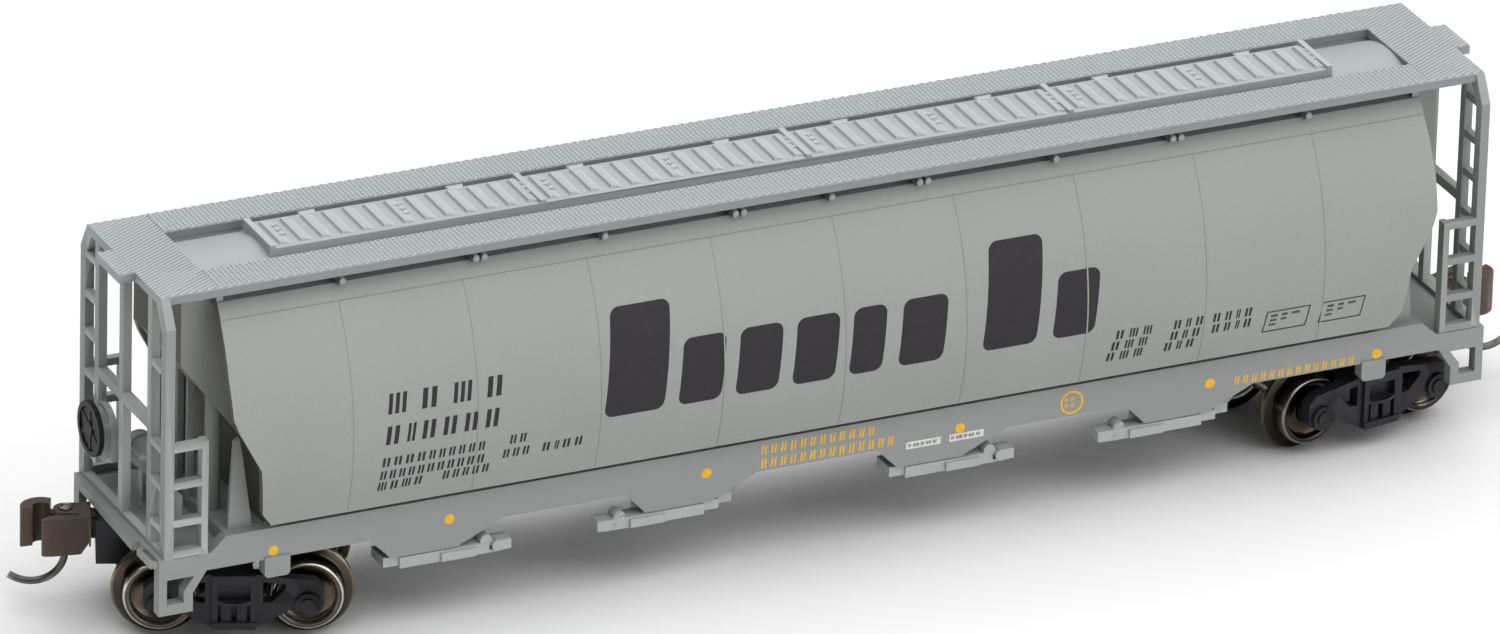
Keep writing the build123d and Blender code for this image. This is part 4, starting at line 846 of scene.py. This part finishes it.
# ------------------------------------------------------------------ couplers
# Their places are about the truck, with +X outboard.
KNUCKLE_PIVOT = (12.7, -0.2)
KNUCKLE_EYE_Z = (5.12, 6.83)
KNUCKLE_EYE_RADIUS = 0.85
KNUCKLE_ARM = [(12.7, -1.05), (13.9, -1.55), (13.9, -0.75), (13.0, 0.2)]
KNUCKLE_ARM_INSET = 0.01       # below the eye's faces
HOOK_CENTRE = (14.55, 0.0)
HOOK_INNER = 0.66
HOOK_OUTER = 1.62
HOOK_Z = (4.5, 7.75)
HOOK_NOSE = 16                 # degrees from +X to the tip of the nose
HOOK_HEEL = -176
HOOK_BACK_TURN = -120          # the outer curve stops here at the flat back
HOOK_BACK_X = 13.76
PIN_RING_RADIUS = 0.42
PIN_RING_WIRE = 0.13
PIN_RING_Z = 7.58
PIN_RING_STEPS = 28


def hook_point(radius, degrees):
    angle = math.radians(degrees)
    x = HOOK_CENTRE[0] + radius * math.cos(angle)
    return max(x, HOOK_BACK_X), HOOK_CENTRE[1] + radius * math.sin(angle)


def make_knuckle(end):
    """The knuckle: a hook curved like a C about the mating knuckle's place, with its arm and eye."""
    shape = Shape()
    steps = 22
    turns = [HOOK_NOSE + (HOOK_HEEL - HOOK_NOSE) * step / steps for step in range(steps + 1)]
    outer = [hook_point(HOOK_OUTER, turn) for turn in turns if turn > HOOK_BACK_TURN]
    inner = [hook_point(HOOK_INNER, turn) for turn in reversed(turns)]
    shape.prism(outer + [(HOOK_BACK_X, outer[-1][1])] + inner, "z", *HOOK_Z)
    shape.turned("z", KNUCKLE_PIVOT, [(z, KNUCKLE_EYE_RADIUS) for z in KNUCKLE_EYE_Z], 28)
    shape.prism(KNUCKLE_ARM, "z", KNUCKLE_EYE_Z[0] + KNUCKLE_ARM_INSET,
                KNUCKLE_EYE_Z[1] - KNUCKLE_ARM_INSET)
    piece = shape.piece(f"knuckle_hook_{end}", f"knuckle_unit_{end}", "coupler_brown", COUPLER_BROWN,
                        TRUCKS[end], bevel=0.1)
    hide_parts(f"knuckle_{end}")
    ring = Shape()
    path = []
    for step in range(PIN_RING_STEPS + 1):
        turn = 2 * math.pi * step / PIN_RING_STEPS
        x = KNUCKLE_PIVOT[0] + PIN_RING_RADIUS * math.cos(turn)
        path.append((x, KNUCKLE_PIVOT[1] + PIN_RING_RADIUS * math.sin(turn), PIN_RING_Z))
    ring.tube(path, PIN_RING_WIRE, 10)
    ring.piece(f"pin_ring_{end}", f"knuckle_unit_{end}", "pin_steel", PIN_STEEL, TRUCKS[end])


# ------------------------------------------------------------------ CAD nodes that show
def finish_cad_nodes():
    finish_node("body_shell", BODY_GREY)
    finish_node("ballast_weight", BALLAST_STEEL, 0.05)
    finish_node("roof_walk", WALK_GREY, 0.06)
    finish_node("roof_hatches", HATCH_GREY, 0.06)
    finish_node("underframe", SILL_GREY)
    for index in range(HATCH_COUNT):
        finish_node(f"outlet_gate_{index + 1}", FRAME_GREY, 0.07)
    finish_node("brake_wheel", BRAKE_BLACK, 0.04)
    finish_node("brake_cylinder", FRAME_GREY, 0.06)
    for end in "ab":
        finish_node(f"end_cage_{end}", FRAME_GREY, 0.08)
        finish_node(f"kingpin_{end}", TRUCK_BLACK, 0.05)
        finish_node(f"truck_frame_{end}", TRUCK_BLACK, 0.07)
        finish_node(f"coupler_cover_{end}", TRUCK_BLACK, 0.05)
        finish_node(f"coupler_{end}", COUPLER_BROWN, 0.14)
        finish_node(f"trip_pin_{end}", PIN_STEEL)
        finish_node(f"centering_spring_{end}", SPRING_STEEL)
        for place in ("outer", "inner"):
            finish_node(f"axle_{end}_{place}", AXLE_METAL)


# ------------------------------------------------------------------ studio
CAMERA_AZIMUTH = math.radians(-25.579)
CAMERA_ELEVATION = math.radians(25.198)
CAMERA_ROLL = math.radians(1.628)
CAMERA_DISTANCE = 1.17957
CAMERA_TARGET = Vector((-0.003464, 0, RAIL_Z + 0.016071))
CAMERA_LENS = 366.607


def make_camera():
    back = Vector((
        math.sin(CAMERA_AZIMUTH) * math.cos(CAMERA_ELEVATION),
        -math.cos(CAMERA_AZIMUTH) * math.cos(CAMERA_ELEVATION),
        math.sin(CAMERA_ELEVATION),
    ))
    right = Vector((0, 0, 1)).cross(back).normalized()
    up = back.cross(right)
    level = Matrix((right, up, back)).transposed().to_4x4()
    camera = bpy.data.objects.new("camera", bpy.data.cameras.new("camera"))
    bpy.context.scene.collection.objects.link(camera)
    camera.matrix_world = (Matrix.Translation(CAMERA_TARGET + back * CAMERA_DISTANCE) @ level
                           @ Matrix.Rotation(CAMERA_ROLL, 4, "Z"))
    camera.data.lens = CAMERA_LENS
    camera.data.sensor_width = 36.0
    camera.data.clip_start = 0.05
    camera.data.clip_end = 20.0
    bpy.context.scene.camera = camera


def make_light(name, source, spread, strength):
    """A broad, even light from a direction; spread is how wide it looks from the car, in degrees."""
    light = bpy.data.lights.new(name, "SUN")
    light.energy = strength
    light.angle = math.radians(spread)
    holder = bpy.data.objects.new(name, light)
    holder.rotation_euler = Vector(source).to_track_quat("Z", "Y").to_euler()
    bpy.context.scene.collection.objects.link(holder)


FLOOR_REACH = 6.0              # metres
PAPER_TONES = ((0.77, 0.77, 0.77, 1), (0.8, 0.8, 0.8, 1))
SKY_STRENGTH = 0.1
TOP_LIGHT = {"source": (0.1, 0.0, 1.0), "spread": 100, "strength": 3.8}
FRONT_LIGHT = {"source": (0.42, -0.88, 0.225), "spread": 50, "strength": 1.1}


def make_studio():
    mesh = bpy.data.meshes.new("floor")
    corners = [(-FLOOR_REACH, -FLOOR_REACH, 0), (FLOOR_REACH, -FLOOR_REACH, 0),
               (FLOOR_REACH, FLOOR_REACH, 0), (-FLOOR_REACH, FLOOR_REACH, 0)]
    mesh.from_pydata(corners, [], [(0, 1, 2, 3)])
    floor = bpy.data.objects.new("floor", mesh)
    bpy.context.scene.collection.objects.link(floor)
    paper = Finish("studio_paper", roughness=0.9, specular=0.1)
    fibre = paper.noise(3.0, 3.0)
    floor.data.materials.append(paper.done(paper.mix(fibre, *PAPER_TONES)))
    world = bpy.data.worlds.new("studio")
    world.use_nodes = True
    world.node_tree.nodes["Background"].inputs["Color"].default_value = (1, 1, 1, 1)
    world.node_tree.nodes["Background"].inputs["Strength"].default_value = SKY_STRENGTH
    bpy.context.scene.world = world
    make_light("top_light", **TOP_LIGHT)
    make_light("front_light", **FRONT_LIGHT)
    bpy.context.scene.view_settings.view_transform = "Standard"


# ------------------------------------------------------------------ the scene
finish_cad_nodes()
make_roof_tread()
make_hatch_ribs()
for side in SIDES:
    make_roof_studs(side)
    make_side_print(side)
for end in "ab":
    make_knuckle(end)
    for place in ("outer", "inner"):
        for side in ("left", "right"):
            make_wheel(end, place, side)
make_camera()
make_studio()
